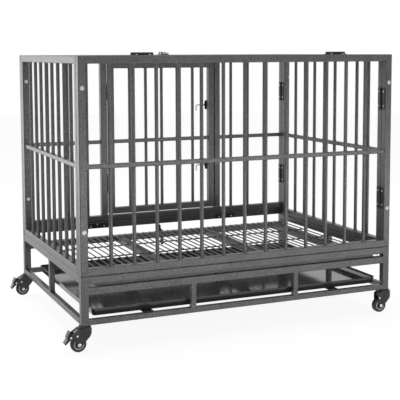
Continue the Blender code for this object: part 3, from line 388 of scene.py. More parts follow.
def hammertone():
    """Grey powder coat with the dimpled, speckled skin of hammered enamel."""
    paint = bpy.data.materials.new("hammer_grey_paint")
    made = Nodes(paint)
    cells = made.add("TexVoronoi", {"Vector": made.place["Object"], "Scale": 400.0, "Randomness": 1.0},
                     feature="SMOOTH_F1").outputs["Distance"]
    grain = made.noise(800.0, 2.0, 0.6)
    broad = made.noise(14.0, 3.0)
    dimples = made.ramp(cells, (0.15, (0.22, 0.22, 0.225)), (0.60, (0.016, 0.016, 0.018)))
    speckles = made.ramp(grain, (0.42, (0.012, 0.012, 0.014)), (0.58, (0.26, 0.26, 0.265)))
    tint = made.ramp(broad, (0.30, (0.86, 0.86, 0.87)), (0.70, (1.10, 1.10, 1.10)))
    mottle = made.mix(0.6, dimples, speckles)
    made.set(Base_Color=made.mix(1.0, mottle, tint, "MULTIPLY"), Metallic=0.35,
             Roughness=made.span(grain, 0.26, 0.44), Specular_IOR_Level=0.6,
             Normal=made.bump(cells, 0.0003, 0.35))
    return paint


def coat(name, cloud, grain, colours, metallic, roughness, relief, wave=None, **inputs):
    """Make a finish with cloudy colour, and a fine grain in its roughness and relief.

    Cloud, grain and wave are noises, and each colour has its stop on the cloud.
    """
    paint = bpy.data.materials.new(name)
    made = Nodes(paint)
    fine = made.noise(*grain)
    height = made.noise(*wave) if wave else fine
    made.set(Base_Color=made.ramp(made.noise(*cloud), *colours), Metallic=metallic,
             Roughness=made.span(fine, *roughness), Normal=made.bump(height, *relief), **inputs)
    return paint


FINISHES = {
    "hammer_grey": hammertone(),
    # Satin enamel of the hinges and plates, with paler worn patches
    "black_steel": coat(
        "black_enamel", cloud=(60.0, 5.0, 0.65), grain=(520.0, 3.0),
        colours=((0.45, (0.016, 0.016, 0.017)), (0.75, (0.055, 0.055, 0.057))),
        metallic=0.3, roughness=(0.24, 0.42), relief=(0.00010, 0.5)),
    # Bright zinc of bolts, nuts, screws and rivets, with a faint drawn grain
    "zinc": coat(
        "zinc_plate", cloud=(90.0, 2.0), grain=(700.0, 3.0),
        colours=((0.30, (0.46, 0.46, 0.45)), (0.70, (0.64, 0.64, 0.63))),
        metallic=0.92, roughness=(0.20, 0.38), relief=(0.00005, 0.4)),
    # Glossy black sheet of the waste tray, with slow waves and a film of dust
    "tray_black": coat(
        "tray_gloss_black", cloud=(170.0, 4.0, 0.6), grain=(170.0, 4.0, 0.6),
        colours=((0.40, (0.036, 0.036, 0.041)), (0.75, (0.058, 0.058, 0.064))),
        metallic=0.0, roughness=(0.06, 0.14), relief=(0.0008, 0.5), wave=(7.0, 2.0),
        Specular_IOR_Level=0.6),
    # Black coat of the pressed caster forks
    "caster_black": coat(
        "caster_black_coat", cloud=(45.0, 3.0), grain=(650.0, 3.0),
        colours=((0.35, (0.014, 0.014, 0.017)), (0.70, (0.034, 0.034, 0.040))),
        metallic=0.15, roughness=(0.26, 0.44), relief=(0.00008, 0.5)),
    # Black rubber of the wheels, lightly scuffed
    "tread_black": coat(
        "tread_rubber", cloud=(120.0, 4.0, 0.7), grain=(800.0, 4.0),
        colours=((0.45, (0.014, 0.014, 0.015)), (0.72, (0.050, 0.050, 0.050))),
        metallic=0.0, roughness=(0.45, 0.66), relief=(0.00008, 0.6)),
    # Light grey moulded ring on the wheels' faces
    "pale_ring": coat(
        "pale_ring", cloud=(80.0, 3.0), grain=(600.0, 3.0),
        colours=((0.35, (0.60, 0.60, 0.60)), (0.70, (0.78, 0.78, 0.78))),
        metallic=0.1, roughness=(0.28, 0.45), relief=(0.00006, 0.5)),
}


def dress_frame():
    """Give every node of the frame the finish of its slot."""
    slots = {entry["node"]: entry["material_slot"] for entry in frame["record"]["subparts"]}
    for name, node in frame["nodes"].items():
        node.data.materials.clear()
        node.data.materials.append(FINISHES[slots[name]])
        node.data.shade_smooth()
        node.data.set_sharp_from_angle(angle=PLAIN_SHARP_ANGLE)


# Outlines and skins

def circle(radius, sides=BAR_SIDES):
    """Return the points of a circle about the origin."""
    steps = [2 * math.pi * index / sides for index in range(sides)]
    return [(radius * math.cos(angle), radius * math.sin(angle)) for angle in steps]


def arc(centre, radius, start, end, count):
    """Return points on an arc, with angles in degrees."""
    steps = [math.radians(start + (end - start) * index / count) for index in range(count + 1)]
    return [(centre[0] + radius * math.cos(a), centre[1] + radius * math.sin(a)) for a in steps]


def rounded(points, radius, steps=4, closed=True, hold=0.0):
    """Return a line of (a, b) points with its corners drawn as arcs; a list gives each radius.

    A hold adds a point that far beyond each end of an arc, so that the flats shade flat.
    """
    radii = radius if isinstance(radius, (list, tuple)) else [radius] * len(points)
    corners = [Vector(point) for point in points]
    drawn = []
    for index, corner in enumerate(corners):
        free_end = not closed and index in (0, len(corners) - 1)
        if free_end or not radii[index]:
            drawn.append(tuple(corner))
            continue
        before = (corners[index - 1] - corner).normalized()
        after = (corners[(index + 1) % len(corners)] - corner).normalized()
        half = before.angle(after) / 2
        centre = corner + (before + after).normalized() * radii[index] / math.sin(half)
        reach = radii[index] / math.tan(half)
        first = corner + before * reach - centre
        last = corner + after * reach - centre
        start, end = (math.degrees(math.atan2(way.y, way.x)) for way in (first, last))
        turn = (end - start + 180.0) % 360.0 - 180.0
        bend = arc(centre, radii[index], start, start + turn, steps)
        if hold:
            ends = [tuple(corner + way * (reach + hold)) for way in (before, after)]
            bend = [ends[0], *bend, ends[1]]
        drawn += bend
    return drawn


def rectangle(half_a, half_b, radius, steps=4):
    """Return a rectangle about the origin with rounded corners."""
    corners = [(half_a, -half_b), (half_a, half_b), (-half_a, half_b), (-half_a, -half_b)]
    return rounded(corners, radius, steps, hold=radius * HOLD_SHARE)


def inset(outline, depth):
    """Return an outline moved inwards by a depth."""
    pairs = zip(outline[-1:] + outline, outline)
    turns = sum(Vector(before).cross(Vector(here)) for before, here in pairs)
    depth = math.copysign(depth, turns * depth)
    moved = []
    for index, point in enumerate(outline):
        here = Vector(point)
        first = (here - Vector(outline[index - 1])).normalized()
        second = (Vector(outline[(index + 1) % len(outline)]) - here).normalized()
        way = Vector((-first.y - second.y, first.x + second.x))
        moved.append(tuple(here + way * depth / max(1.0 + first.dot(second), MITRE_LIMIT)))
    return moved


def sideways(path):
    """Return the normal of an open path at each of its points."""
    ends = [path[0], *path, path[-1]]
    steps = [Vector(after) - Vector(before) for before, after in zip(ends, ends[2:])]
    return [Vector((-step.y, step.x)).normalized() for step in steps]


def strap(path, thickness):
    """Return the outline of a bent strip of sheet along an open path."""
    right, left = ([tuple(Vector(point) + side * reach) for point, side in zip(path, sideways(path))]
                   for reach in (-thickness / 2, thickness / 2))
    return right + left[::-1]


def skin(bm, rings, closed=False):
    """Join rings of equally many points into a tube, capped unless it closes on itself."""
    rows = [[bm.verts.new(point) for point in ring] for ring in rings]
    pairs = list(zip(rows, rows[1:]))
    if closed:
        pairs.append((rows[-1], rows[0]))
    for first, second in pairs:
        for index in range(len(first)):
            bm.faces.new((first[index - 1], first[index], second[index], second[index - 1]))
    if not closed:
        bm.faces.new(rows[0])
        bm.faces.new(rows[-1])


def loft(bm, place, stations):
    """Skin outlines of (a, b) points, each at its distance along the place's third axis."""
    skin(bm, [[place @ Vector((a, b, distance)) for a, b in outline]
              for outline, distance in stations])


def turned(bm, place, profile, sides=TURNED_SIDES):
    """Turn a profile of (radius, distance) about the place's third axis."""
    loft(bm, place, [(circle(radius, sides), distance) for radius, distance in profile])


def slab(bm, place, outline, low, high, edge=BROKEN_EDGE):
    """Extrude an outline between two distances along the place's third axis, with broken edges."""
    small = inset(outline, edge)
    loft(bm, place, [(small, low), (outline, low + edge), (outline, high - edge), (small, high)])


def swept(bm, place, path, radius):
    """Sweep a round rod along a path of (a, b) points in the place's first two axes."""
    rings = []
    for index, (point, side) in enumerate(zip(path, sideways(path))):
        end = index in (0, len(path) - 1)
        thick = radius * ROD_END_SHARE if end else radius
        rings.append([place @ Vector((point[0] + side.x * a, point[1] + side.y * a, b))
                      for a, b in circle(thick, ROD_SIDES)])
    skin(bm, rings)


def local_frame(origin, along, outward):
    """Return the matrix whose u axis runs along, w axis outward and v across them."""
    u, w = Vector(along), Vector(outward)
    turn = Matrix((u, w.cross(u), w)).transposed().to_4x4()
    return Matrix.Translation(origin) @ turn


def run_frame(axes, v=0.0, w=0.0):
    """Return the frame whose third axis runs along the first named world axis."""
    first, second, third = (AXES[name] for name in axes)
    turn = Matrix((second, third, first)).transposed().to_4x4()
    return Matrix.Translation(second * v + third * w) @ turn


def at(axes, u, v, w):
    """Return the point with u, v and w measured along the given world axes."""
    return AXES[axes[0]] * u + AXES[axes[1]] * v + AXES[axes[2]] * w


def spaced(low, high, count):
    """Return evenly spaced places between two faces."""
    return [low + (high - low) * (index + 1) / (count + 1) for index in range(count)]


def spread(first, last, count):
    """Return evenly spaced places from the first to the last."""
    return [first + (last - first) * index / (count - 1) for index in range(count)]


def moved(place, u=0.0, v=0.0, w=0.0):
    """Return a frame moved along its own axes."""
    return place @ Matrix.Translation((u, v, w))


def put(name, data):
    """Add an object with some data to the scene."""
    made = bpy.data.objects.new(name, data)
    bpy.context.scene.collection.objects.link(made)
    return made


def mesh_of(name, bm):
    """Return a bmesh as a mesh with its faces turned outwards."""
    bmesh.ops.recalc_face_normals(bm, faces=bm.faces)
    mesh = bpy.data.meshes.new(name)
    bm.to_mesh(mesh)
    bm.free()
    return mesh


def piece(name, bm, slot, body, nodes=(), sharp=SHARP_ANGLE):
    """Make a smooth shaded piece that rides on a body and stands for some nodes."""
    mesh = mesh_of(name, bm)
    mesh.materials.append(FINISHES[slot])
    mesh.shade_smooth()
    mesh.set_sharp_from_angle(angle=sharp)
    made = put(name, mesh)
    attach(made, body)
    if nodes:
        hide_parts(*nodes)


# Welded tube, bar and wire

def welded(bm, place, outline, low, high, walls, bead):
    """Loft a bar that carries an uneven weld bead at each wall that it meets.

    A wall is a distance along the bar and a side, +1 where the bar leaves it upwards.
    """
    size = max(a for a, b in outline)
    stations = [(low, 0.0), (high, 0.0)]
    for level, side in walls:
        stations += [(level + side * step, swell) for step, swell in BEAD_PROFILE]
    rings = []
    for distance, swell in sorted(stations):
        ring = []
        for a, b in outline:
            share = 1.0 + swell * bead / size * chance.uniform(*BEAD_SPREAD)
            ring.append(place @ Vector((a * share, b * share, distance)))
        rings.append(ring)
    skin(bm, rings)


def tube(bm, axes, low, high, v, w, size=TUBE):
    """Add a square tube along the first axis, welded to a wall at each end."""
    corner = TUBE_CORNER if size == TUBE else THIN_CORNER
    outline = rectangle(size / 2 - FLUSH_STEP, size / 2 - FLUSH_STEP, corner)
    welded(bm, run_frame(axes, v, w), outline, low - WELD_SINK, high + WELD_SINK,
           [(low, 1), (high, -1)], TUBE_BEAD)


def bar(bm, axes, low, high, v, w, rail=None):
    """Add a round bar along the first axis that runs through a middle rail."""
    walls = [(low, 1), (high, -1)]
    if rail is not None:
        walls += [(rail - MID_RAIL / 2, -1), (rail + MID_RAIL / 2, 1)]
    welded(bm, run_frame(axes, v, w), circle(BAR_RADIUS), low - WELD_SINK, high + WELD_SINK,
           walls, BAR_BEAD)


def mitred(bm, axes, low, high, middle):
    """Add a frame of square tube around a rectangle, with a fine groove at each mitre."""
    half = TUBE / 2
    near, far = Vector(low) + Vector((half, half)), Vector(high) - Vector((half, half))
    centres = [near, Vector((far.x, near.y)), far, Vector((near.x, far.y))]
    outline = rectangle(half, half, TUBE_CORNER)
    groove = rectangle(half - MITRE_DEPTH, half - MITRE_DEPTH, TUBE_CORNER)
    rings = []
    for index, centre in enumerate(centres):
        after = centres[(index + 1) % 4]
        along = (after - centre).normalized()
        inward = Vector((-along.y, along.x))
        for section, start, lean, shift in (
                (groove, centre, 1, 0.0), (outline, centre, 1, MITRE_GAP),
                (outline, centre, 1, 2 * MITRE_GAP), (outline, after, -1, -2 * MITRE_GAP),
                (outline, after, -1, -MITRE_GAP)):
            ring = []
            for a, b in section:
                spot = start + inward * a + along * (lean * a + shift)
                ring.append(at(axes, spot.x, spot.y, middle + b))
            rings.append(ring)
    skin(bm, rings, closed=True)


def barred(bm, axes, low, high, middle, count, rail):
    """Add a mitred frame with a middle rail and evenly spaced bars."""
    mitred(bm, axes, low, high, middle)
    tube(bm, axes, low[0] + TUBE, high[0] - TUBE, rail, middle, MID_RAIL)
    upright = axes[1] + axes[0] + axes[2]
    for place in spaced(low[0] + TUBE, high[0] - TUBE, count):
        bar(bm, upright, low[1] + TUBE, high[1] - TUBE, place, middle, rail)


def pegs(bm, side_y):
    """Add the round pegs that stand a long panel in the base's posts."""
    narrow, rise = (BAR_RADIUS * share for share in PEG_TIP_SHARE)
    for x in (-POST_X, POST_X):
        turned(bm, run_frame("zxy", x, side_y), [
            (narrow, PEG_END), (BAR_RADIUS, PEG_END + rise), (BAR_RADIUS, PANEL_BOTTOM + WELD_SINK)])


def make_panel(node, axes, body, middle, count, rail=MID_RAIL_Z):
    """Make a barred panel in its node's box; axes name its length, height and thickness."""
    low, high = ((getattr(corner, axes[0]), getattr(corner, axes[1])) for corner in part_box(node))
    bm = bmesh.new()
    barred(bm, axes, low, high, middle, count, rail)
    piece(node + "_weldment", bm, "hammer_grey", body, [node])


def make_panels():
    """Front, end and rear panels, door and lid."""
    bm = bmesh.new()
    barred(bm, "xzy", (-HALF_L, PANEL_BOTTOM), (HALF_L, PANEL_TOP), -POST_Y, LONG_BARS, MID_RAIL_Z)
    pegs(bm, -POST_Y)
    piece("front_panel_weldment", bm, "hammer_grey", "cage", ["front_panel"])
    for node in ("left_end_panel", "right_end_panel"):
        low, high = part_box(node)
        make_panel(node, "yzx", "cage", (low.x + high.x) / 2, END_BARS)
    make_panel("door", "xzy", "door", POST_Y, DOOR_BARS)
    make_panel("lid", "xyz", "lid", PANEL_TOP - TUBE / 2, LONG_BARS, 0.0)
    make_rear_panel()


def make_rear_panel():
    """Rear panel: frame, second sill, two jambs and the bars beside the doorway."""
    inner = HALF_L - TUBE
    sill = PANEL_BOTTOM + TUBE * 1.5
    bm = bmesh.new()
    mitred(bm, "xzy", (-HALF_L, PANEL_BOTTOM), (HALF_L, PANEL_TOP), POST_Y)
    tube(bm, "xzy", -inner, inner, sill, POST_Y)
    for side in (-1, 1):
        jamb = side * (DOORWAY_HALF + TUBE / 2)
        tube(bm, "zxy", sill + TUBE / 2, PANEL_TOP - TUBE, jamb, POST_Y)
        low, high = sorted((side * (DOORWAY_HALF + TUBE), side * inner))
        tube(bm, "xzy", low, high, MID_RAIL_Z, POST_Y, MID_RAIL)
    places = spaced(-inner, inner, LONG_BARS)
    for x in places[:DOOR_OUTER_BARS] + places[-DOOR_OUTER_BARS:]:
        bar(bm, "zxy", sill + TUBE / 2, PANEL_TOP - TUBE, x, POST_Y, MID_RAIL_Z)
    pegs(bm, POST_Y)
    piece("rear_panel_weldment", bm, "hammer_grey", "cage", ["rear_panel"])


def make_base():
    """Welded base: posts, rails, short uprights and the tubes under the wire floor."""
    bm = bmesh.new()
    thin = THIN_TUBE / 2
    inner_x, inner_y = HALF_L - TUBE, HALF_W - TUBE
    top = BASE_TOP - TUBE / 2
    low = BASE_BOTTOM + thin
    floor = FLOOR_RAIL_BOTTOM + TUBE / 2
    bay = HALF_L / BASE_BAYS
    post = rectangle(TUBE / 2, TUBE / 2, TUBE_CORNER)
    for x in (-POST_X, POST_X):
        for y in (-POST_Y, POST_Y):
            slab(bm, run_frame("zxy", x, y), post, BASE_BOTTOM, BASE_TOP, FLUSH_STEP)
    for side in (-1, 1):
        edge_y, edge_x = side * (HALF_W - thin), side * (HALF_L - thin)
        tube(bm, "xzy", -inner_x, inner_x, floor, side * POST_Y)
        tube(bm, "xzy", -inner_x, inner_x, low, edge_y, THIN_TUBE)
        tube(bm, "yzx", -inner_y, inner_y, top, side * POST_X)
        tube(bm, "yzx", -inner_y, inner_y, low, edge_x, THIN_TUBE)
        tube(bm, "zxy", low + thin, FLOOR_RAIL_BOTTOM, side * bay, thin - HALF_W, THIN_TUBE)
        tube(bm, "zyx", low + thin, BASE_TOP - TUBE, 0.0, edge_x, THIN_TUBE)
        for x in (side * bay, side * (inner_x - SIDE_MEMBER_GAP - TUBE / 2)):
            tube(bm, "yzx", -inner_y, inner_y, floor, x)
    tube(bm, "xzy", -inner_x, inner_x, top, -POST_Y)
    piece("base_weldment", bm, "hammer_grey", "cage", ["base_frame"])


def wire(bm, axes, low, high, v, w, radius, crossings):
    """Add a floor wire along the first axis, pressed and welded where it crosses others."""
    rings = [(radius - WIRE_BURR, low), (radius, low + WIRE_BURR)]
    for level in crossings:
        rings += [(radius, level - WIRE_NIP), (radius + WIRE_SWELL, level - WIRE_NIP / 3),
                  (radius + WIRE_SWELL, level + WIRE_NIP / 3), (radius, level + WIRE_NIP)]
    rings += [(radius, high - WIRE_BURR), (radius - WIRE_BURR, high)]
    turned(bm, run_frame(axes, v, w), rings, WIRE_SIDES)


def make_grate():
    """Wire floor: long wires along Y over a few rods along X."""
    low, high = GRATE
    rod_z = low.z + ROD_RADIUS
    wire_z = high.z - WIRE_RADIUS
    rows = spread(low.y + ROD_FRONT_MARGIN, high.y - ROD_REAR_MARGIN, ROD_ROWS)
    half = high.x - ROD_OVERHANG
    columns = spread(-half, half, round(2 * half / WIRE_PITCH) + 1)
    bm = bmesh.new()
    for y in rows:
        wire(bm, "xyz", low.x, high.x, y, rod_z, ROD_RADIUS, [])
    for x in columns:
        wire(bm, "yxz", low.y, high.y, x, wire_z, WIRE_RADIUS, rows)
    edge = rectangle((high.z - low.z) / 2, EDGE_STRIP / 2, EDGE_STRIP_CORNER)
    slab(bm, run_frame("xzy", (low.z + high.z) / 2, low.y + EDGE_STRIP / 2), edge,
         -EDGE_STRIP_HALF, EDGE_STRIP_HALF)
    piece("floor_grate_weldment", bm, "hammer_grey", "cage", ["floor_grate"])


def make_tray():
    """Shallow pan with sloping sides, soft bends and a rolled lip."""
    low, high = TRAY
    middle = (low + high) / 2
    half = (high - low) / 2
    wall, floor = TRAY_TAPER + TRAY_WALL, low.z + TRAY_WALL
    section = [(TRAY_TAPER + TRAY_BEND * a, low.z + TRAY_BEND * b) for a, b in TRAY_OUTER_BEND]
    section.append((TRAY_LIP, high.z - 2 * TRAY_ROLL))
    section += [(TRAY_ROLL * a, high.z - TRAY_ROLL * b) for a, b in TRAY_ROLLED_LIP]
    section.append((TRAY_LIP + TRAY_WALL, high.z - TRAY_ROLL))
    section += [(wall + TRAY_BEND * a, floor + TRAY_BEND * b) for a, b in TRAY_INNER_BEND]
    place = Matrix.Translation((middle.x, middle.y, 0.0))
    bm = bmesh.new()
    loft(bm, place, [(rectangle(half.x - depth, half.y - depth, TRAY_CORNER - depth, 6), z)
                     for depth, z in section])
    piece("tray_pan", bm, "tray_black", "tray", ["tray"])


# Screws, hinges, latches and plates

def screw(bm, place, radius=SCREW_RADIUS, height=SCREW_HEIGHT, recess=CROSS_RECESS):
    """Add a pan head screw with a cross or socket recess, seated on the place's plane."""
    core, lobe = recess
    cross = []
    for index in range(SCREW_SIDES):
        angle = 2 * math.pi * index / SCREW_SIDES
        reach = radius * (core + lobe * abs(math.cos(2 * angle)) ** 3)
        cross.append((reach * math.cos(angle), reach * math.sin(angle)))
    rim = [(circle(radius * share, SCREW_SIDES), height * rise) for share, rise in SCREW_RIM]
    recessed = [(cross, height), (inset(cross, radius * RECESS_TAPER), height * RECESS_FLOOR)]
    loft(bm, place, rim + recessed)


def turned_screw(bm, place):
    """Add a screw with its recess turned by chance."""
    screw(bm, place @ Matrix.Rotation(chance.uniform(0.0, SCREW_TURN), 4, "Z"))


def scaled(profile, radius, height):
    """Return a profile of shares as one of (radius, distance)."""
    return [(radius * share, height * rise) for share, rise in profile]


def button(bm, place, radius, height):
    """Add a domed rivet head, seated on the place's plane."""
    turned(bm, place, scaled(RIVET_DOME, radius, height), BAR_SIDES)


def hinge_leaf(node, frame_here, length, side, body, screws):
    """Make one leaf with its half of the rolled barrel and put its screws in a mesh."""
    radius = HINGE_BARREL
    half = length / 2
    inner = side * (radius + HINGE_CLEAR)
    reach = side * HINGE_REACH
    split = side * HINGE_CLEAR / 2
    points = [(-side * half, inner), (-side * half, reach), (side * half, reach),
              (side * half, side * HINGE_WRAP), (split, side * HINGE_WRAP), (split, inner)]
    bends = [0.0, HINGE_CORNER, HINGE_CORNER, 0.0, 0.0, 0.0]
    bm = bmesh.new()
    slab(bm, frame_here, rounded(points, bends), -radius, -radius + HINGE_SHEET)
    low, high = sorted((split, side * half))
    roll = [(distance, low + step) for distance, step in HINGE_ROLL_END]
    roll += [(distance, high - step) for distance, step in reversed(HINGE_ROLL_END)]
    turned(bm, frame_here @ UPRIGHT, roll)
    piece(node + "_plate", bm, "black_steel", body, [node])
    for u in (-length * HINGE_SCREW_SHARE, length * HINGE_SCREW_SHARE):
        turned_screw(screws, moved(frame_here, u, (inner + reach) / 2, -radius + HINGE_SHEET))


def make_hinges(screws):
    """Two hinges for the door and two for the lid."""
    for body, places, fixed, along, outward in (("door", ("upper", "lower"), "jamb", "z", "y"),
                                                ("lid", ("left", "right"), "rail", "x", "z")):
        for place in places:
            names = [body + "_hinge_" + place + "_" + leaf + "_leaf" for leaf in (fixed, body)]
            low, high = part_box(names[0])
            length = (high - low).dot(AXES[along])
            middle = (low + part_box(names[1])[1]) / 2
            frame_here = local_frame(middle, AXES[along], AXES[outward])
            hinge_leaf(names[0], frame_here, length, -1, "cage", screws["cage"])
            hinge_leaf(names[1], frame_here, length, 1, body, screws[body])


def seat(node, along, outward, end):
    """Return the frame at one end of a node's seat, its length, half width and height."""
    low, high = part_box(node)
    along, outward = AXES[along], AXES[outward]
    size = high - low
    length, height = size.dot(along), size.dot(outward)
    origin = (low + high + along * length * end - outward * height) / 2
    width = abs(size.dot(outward.cross(along)))
    return local_frame(origin, along, outward), length, width / 2, height


def make_latch(node, along, outward, body, screws):
    """Make a slide bolt: the plate with two bent loops, its screws and the rod."""
    place, length = seat(node + "_guide", along, outward, 1)[:2]
    place = moved(place, w=-SEAT_GAP)
    bm = bmesh.new()
    plate = [(u - length / 2, v) for u, v in rectangle(length / 2, LATCH_HALF, LATCH_CORNER)]
    slab(bm, place, plate, SEAT_GAP, SEAT_GAP + LATCH_SHEET, FINE_EDGE)
    mirrored = [(-a, b, bend) for a, b, bend in LUG_SIDE]
    corners = [mirrored[0], *LUG_SIDE, *mirrored[:0:-1]]
    loop = rounded([(a, b) for a, b, bend in corners], [bend for a, b, bend in corners])
    for start in (-length + 2 * FLUSH_STEP, -LUG_LENGTH - 2 * FLUSH_STEP):
        slab(bm, place @ UPRIGHT, loop, start, start + LUG_LENGTH)
    piece(node + "_guide_plate", bm, "black_steel", body, [node + "_guide"])
    for u in LATCH_SCREW_PLACES[0]:
        for v in LATCH_SCREW_PLACES[1]:
            spot = moved(place, length * u, LATCH_HALF * v, SEAT_GAP + LATCH_SHEET)
            screw(screws[body], spot, SCREW_RADIUS * LATCH_SCREW_SHARE)
    low, high = ((place.inverted() @ corner).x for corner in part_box(node + "_bolt"))
    make_bolt(node, moved(place, w=BOLT_LEVEL), low + BOLT_RADIUS, high)


def make_bolt(node, place, bend, tip):
    """Make the rod of a slide bolt from its tip to the bend, and its handle."""
    rod = [(tip - BOLT_RADIUS, 0.0), (bend, 0.0), (bend, BOLT_HANDLE)]
    path = [(tip, 0.0), (tip - BOLT_RADIUS / 2, 0.0)]
    path += rounded(rod, BOLT_BEND, 8, False)[1:-1]
    path += [(bend, BOLT_HANDLE - BOLT_RADIUS / 2), (bend, BOLT_HANDLE)]
    bm = bmesh.new()
    swept(bm, place, path, BOLT_RADIUS)
    piece(node + "_bolt_rod", bm, "zinc", node.replace("_latch", "") + "_bolt", [node + "_bolt"])


def make_keeper(node, along, outward):
    """Make a footed strap with soft bends over the way of a slide bolt."""
    place, length, reach, height = seat(node, along, outward, -1)
    foot, top = KEEPER_SHEET / 2, height - KEEPER_SHEET / 2
    path = rounded([(-reach, foot), (-KEEPER_LEG, foot), (-KEEPER_LEG, top), (KEEPER_LEG, top),
                    (KEEPER_LEG, foot), (reach, foot)], KEEPER_BEND, 5, False)
    bm = bmesh.new()
    slab(bm, place @ UPRIGHT, strap(path, KEEPER_SHEET), 0.0, length, FINE_EDGE)
    piece(node + "_strap", bm, "black_steel", "cage", [node])


def make_corner_hinge(node, screws):
    """Make a corner hinge: two leaves on the inner faces and a barrel in three knuckles."""
    low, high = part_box(node)
    centre = (low + high) / 2
    side = math.copysign(1.0, centre.x)
    tube_face = high.x if side > 0 else low.x
    place = local_frame((tube_face, centre.y, centre.z), (0, 0, 1), (-side, 0, 0))
    half, reach = (high.z - low.z) / 2, (high.y - low.y) / 2
    width = (reach - CORNER_BARREL / 2) / 2
    centre_v = (reach + CORNER_BARREL / 2) / 2
    bm = bmesh.new()
    for way in (-1, 1):
        leaf = [(u, v + way * centre_v) for u, v in rectangle(half, width, CORNER_LEAF_CORNER)]
        slab(bm, place, leaf, 0.0, HINGE_SHEET)
        for u in (-half, half):
            turned_screw(screws, moved(place, u * CORNER_SCREW_SHARES[0],
                                       way * reach * CORNER_SCREW_SHARES[1], HINGE_SHEET))
    profile = [(KNUCKLE_END, -half), (CORNER_BARREL, -half + HINGE_EDGE)]
    for joint in (-half / 3, half / 3):
        profile += [(thick, joint + step * KNUCKLE_GROOVE) for thick, step in KNUCKLE_JOINT]
    profile += [(CORNER_BARREL, half - HINGE_EDGE), (KNUCKLE_END, half)]
    turned(bm, moved(place, w=CORNER_BARREL) @ UPRIGHT, profile, BAR_SIDES)
    piece(node + "_plate", bm, "black_steel", "cage", [node])


def make_corner_bolt(node):
    """Make a corner bolt: washer and domed head outside, nut and thread end inside."""
    low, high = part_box(node)
    centre = (low + high) / 2
    side = math.copysign(1.0, centre.y)
    place = local_frame((centre.x, side * (HALF_W + SEAT_GAP), centre.z), (0, 0, 1), (0, side, 0))
    radius = (high.x - low.x) / 2
    height = max(abs(low.y), abs(high.y)) - HALF_W - SEAT_GAP
    bm = bmesh.new()
    turned(bm, place, scaled(WASHER_PROFILE, radius, height))
    screw(bm, moved(place, w=height * WASHER_SHARE), radius * BOLT_HEAD_SHARES[0],
          height * BOLT_HEAD_SHARES[1], SOCKET_RECESS)
    inside = min(abs(low.y), abs(high.y))
    nut = HALF_W - 2 * TUBE - 2 * SEAT_GAP
    end = moved(place, w=nut - HALF_W - SEAT_GAP) @ Matrix.Rotation(math.pi, 4, "X")
    slab(bm, end, circle(NUT_RADIUS, 6), 0.0, NUT_HEIGHT, NUT_EDGE)
    pitch = (nut - inside - NUT_HEIGHT) / THREAD_TURNS
    threads = [(THREAD_RADIUS, 0.0)]
    for index in range(THREAD_TURNS):
        rise = NUT_HEIGHT + pitch * index
        threads += [(THREAD_ROOT, rise), (THREAD_RADIUS, rise + pitch / 2)]
    threads.append((THREAD_TIP, NUT_HEIGHT + pitch * THREAD_TURNS))
    turned(bm, end, threads, ROD_SIDES)
    piece(node + "_head_and_nut", bm, "zinc", "cage", [node])


def make_sill_plates(screws):
    """Two black plates on the inside of the rear sill, each with three staggered screws."""
    z = PANEL_BOTTOM + TUBE / 2
    for name, side in (("left", -1), ("right", 1)):
        origin = (side * (DOORWAY_HALF + SILL_PLATE_OFFSET), HALF_W - TUBE, z)
        place = local_frame(origin, (1, 0, 0), (0, -1, 0))
        bm = bmesh.new()
        outline = rectangle(SILL_PLATE_LENGTH / 2, SILL_PLATE_HEIGHT / 2, SILL_PLATE_CORNER)
        slab(bm, place, outline, -FLUSH_STEP, SILL_PLATE_THICK)
        piece("sill_plate_" + name, bm, "black_steel", "cage")
        for u, v in SILL_SCREWS:
            screw(screws, moved(place, u * SILL_PLATE_LENGTH, v * SILL_PLATE_HEIGHT, SILL_PLATE_THICK))


def make_catch():
    """S-shaped swing catch with rounded edges and a domed rivet."""
    low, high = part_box("grate_catch")
    pivot = Vector((0.0, HALF_W + SEAT_GAP, FLOOR_RAIL_BOTTOM + TUBE / 2))
    place = local_frame(pivot, (-1, 0, 0), (0, 1, 0))
    half = CATCH_WIDTH / 2
    up, down = high.z - pivot.z - half, pivot.z - low.z - half
    outline = arc((-CATCH_OFFSET, up), half, 0, 180, 12)
    outline += arc((-CATCH_OFFSET + half, -half), CATCH_WIDTH, 180, 270, 10)[:-1]
    outline += arc((CATCH_OFFSET, -down), half, 180, 360, 12)
    outline += arc((CATCH_OFFSET - half, half), CATCH_WIDTH, 0, 90, 10)[:-1]
    outline = [(-x, z) for x, z in reversed(outline)]
    bm = bmesh.new()
    slab(bm, place, outline, 0.0, CATCH_THICK, CATCH_EDGE)
    piece("grate_catch_plate", bm, "black_steel", "grate_catch", ["grate_catch"])
    bm = bmesh.new()
    button(bm, moved(place, w=CATCH_THICK), CATCH_HEAD, CATCH_HEAD / 3)
    piece("grate_catch_rivet", bm, "zinc", "grate_catch")


# Casters

def side_frame(post, level=0.0):
    """Return the frame in a caster's side plane: u forward along X, v up, w towards -Y."""
    return local_frame((post[0], post[1], level), (1, 0, 0), (0, -1, 0))


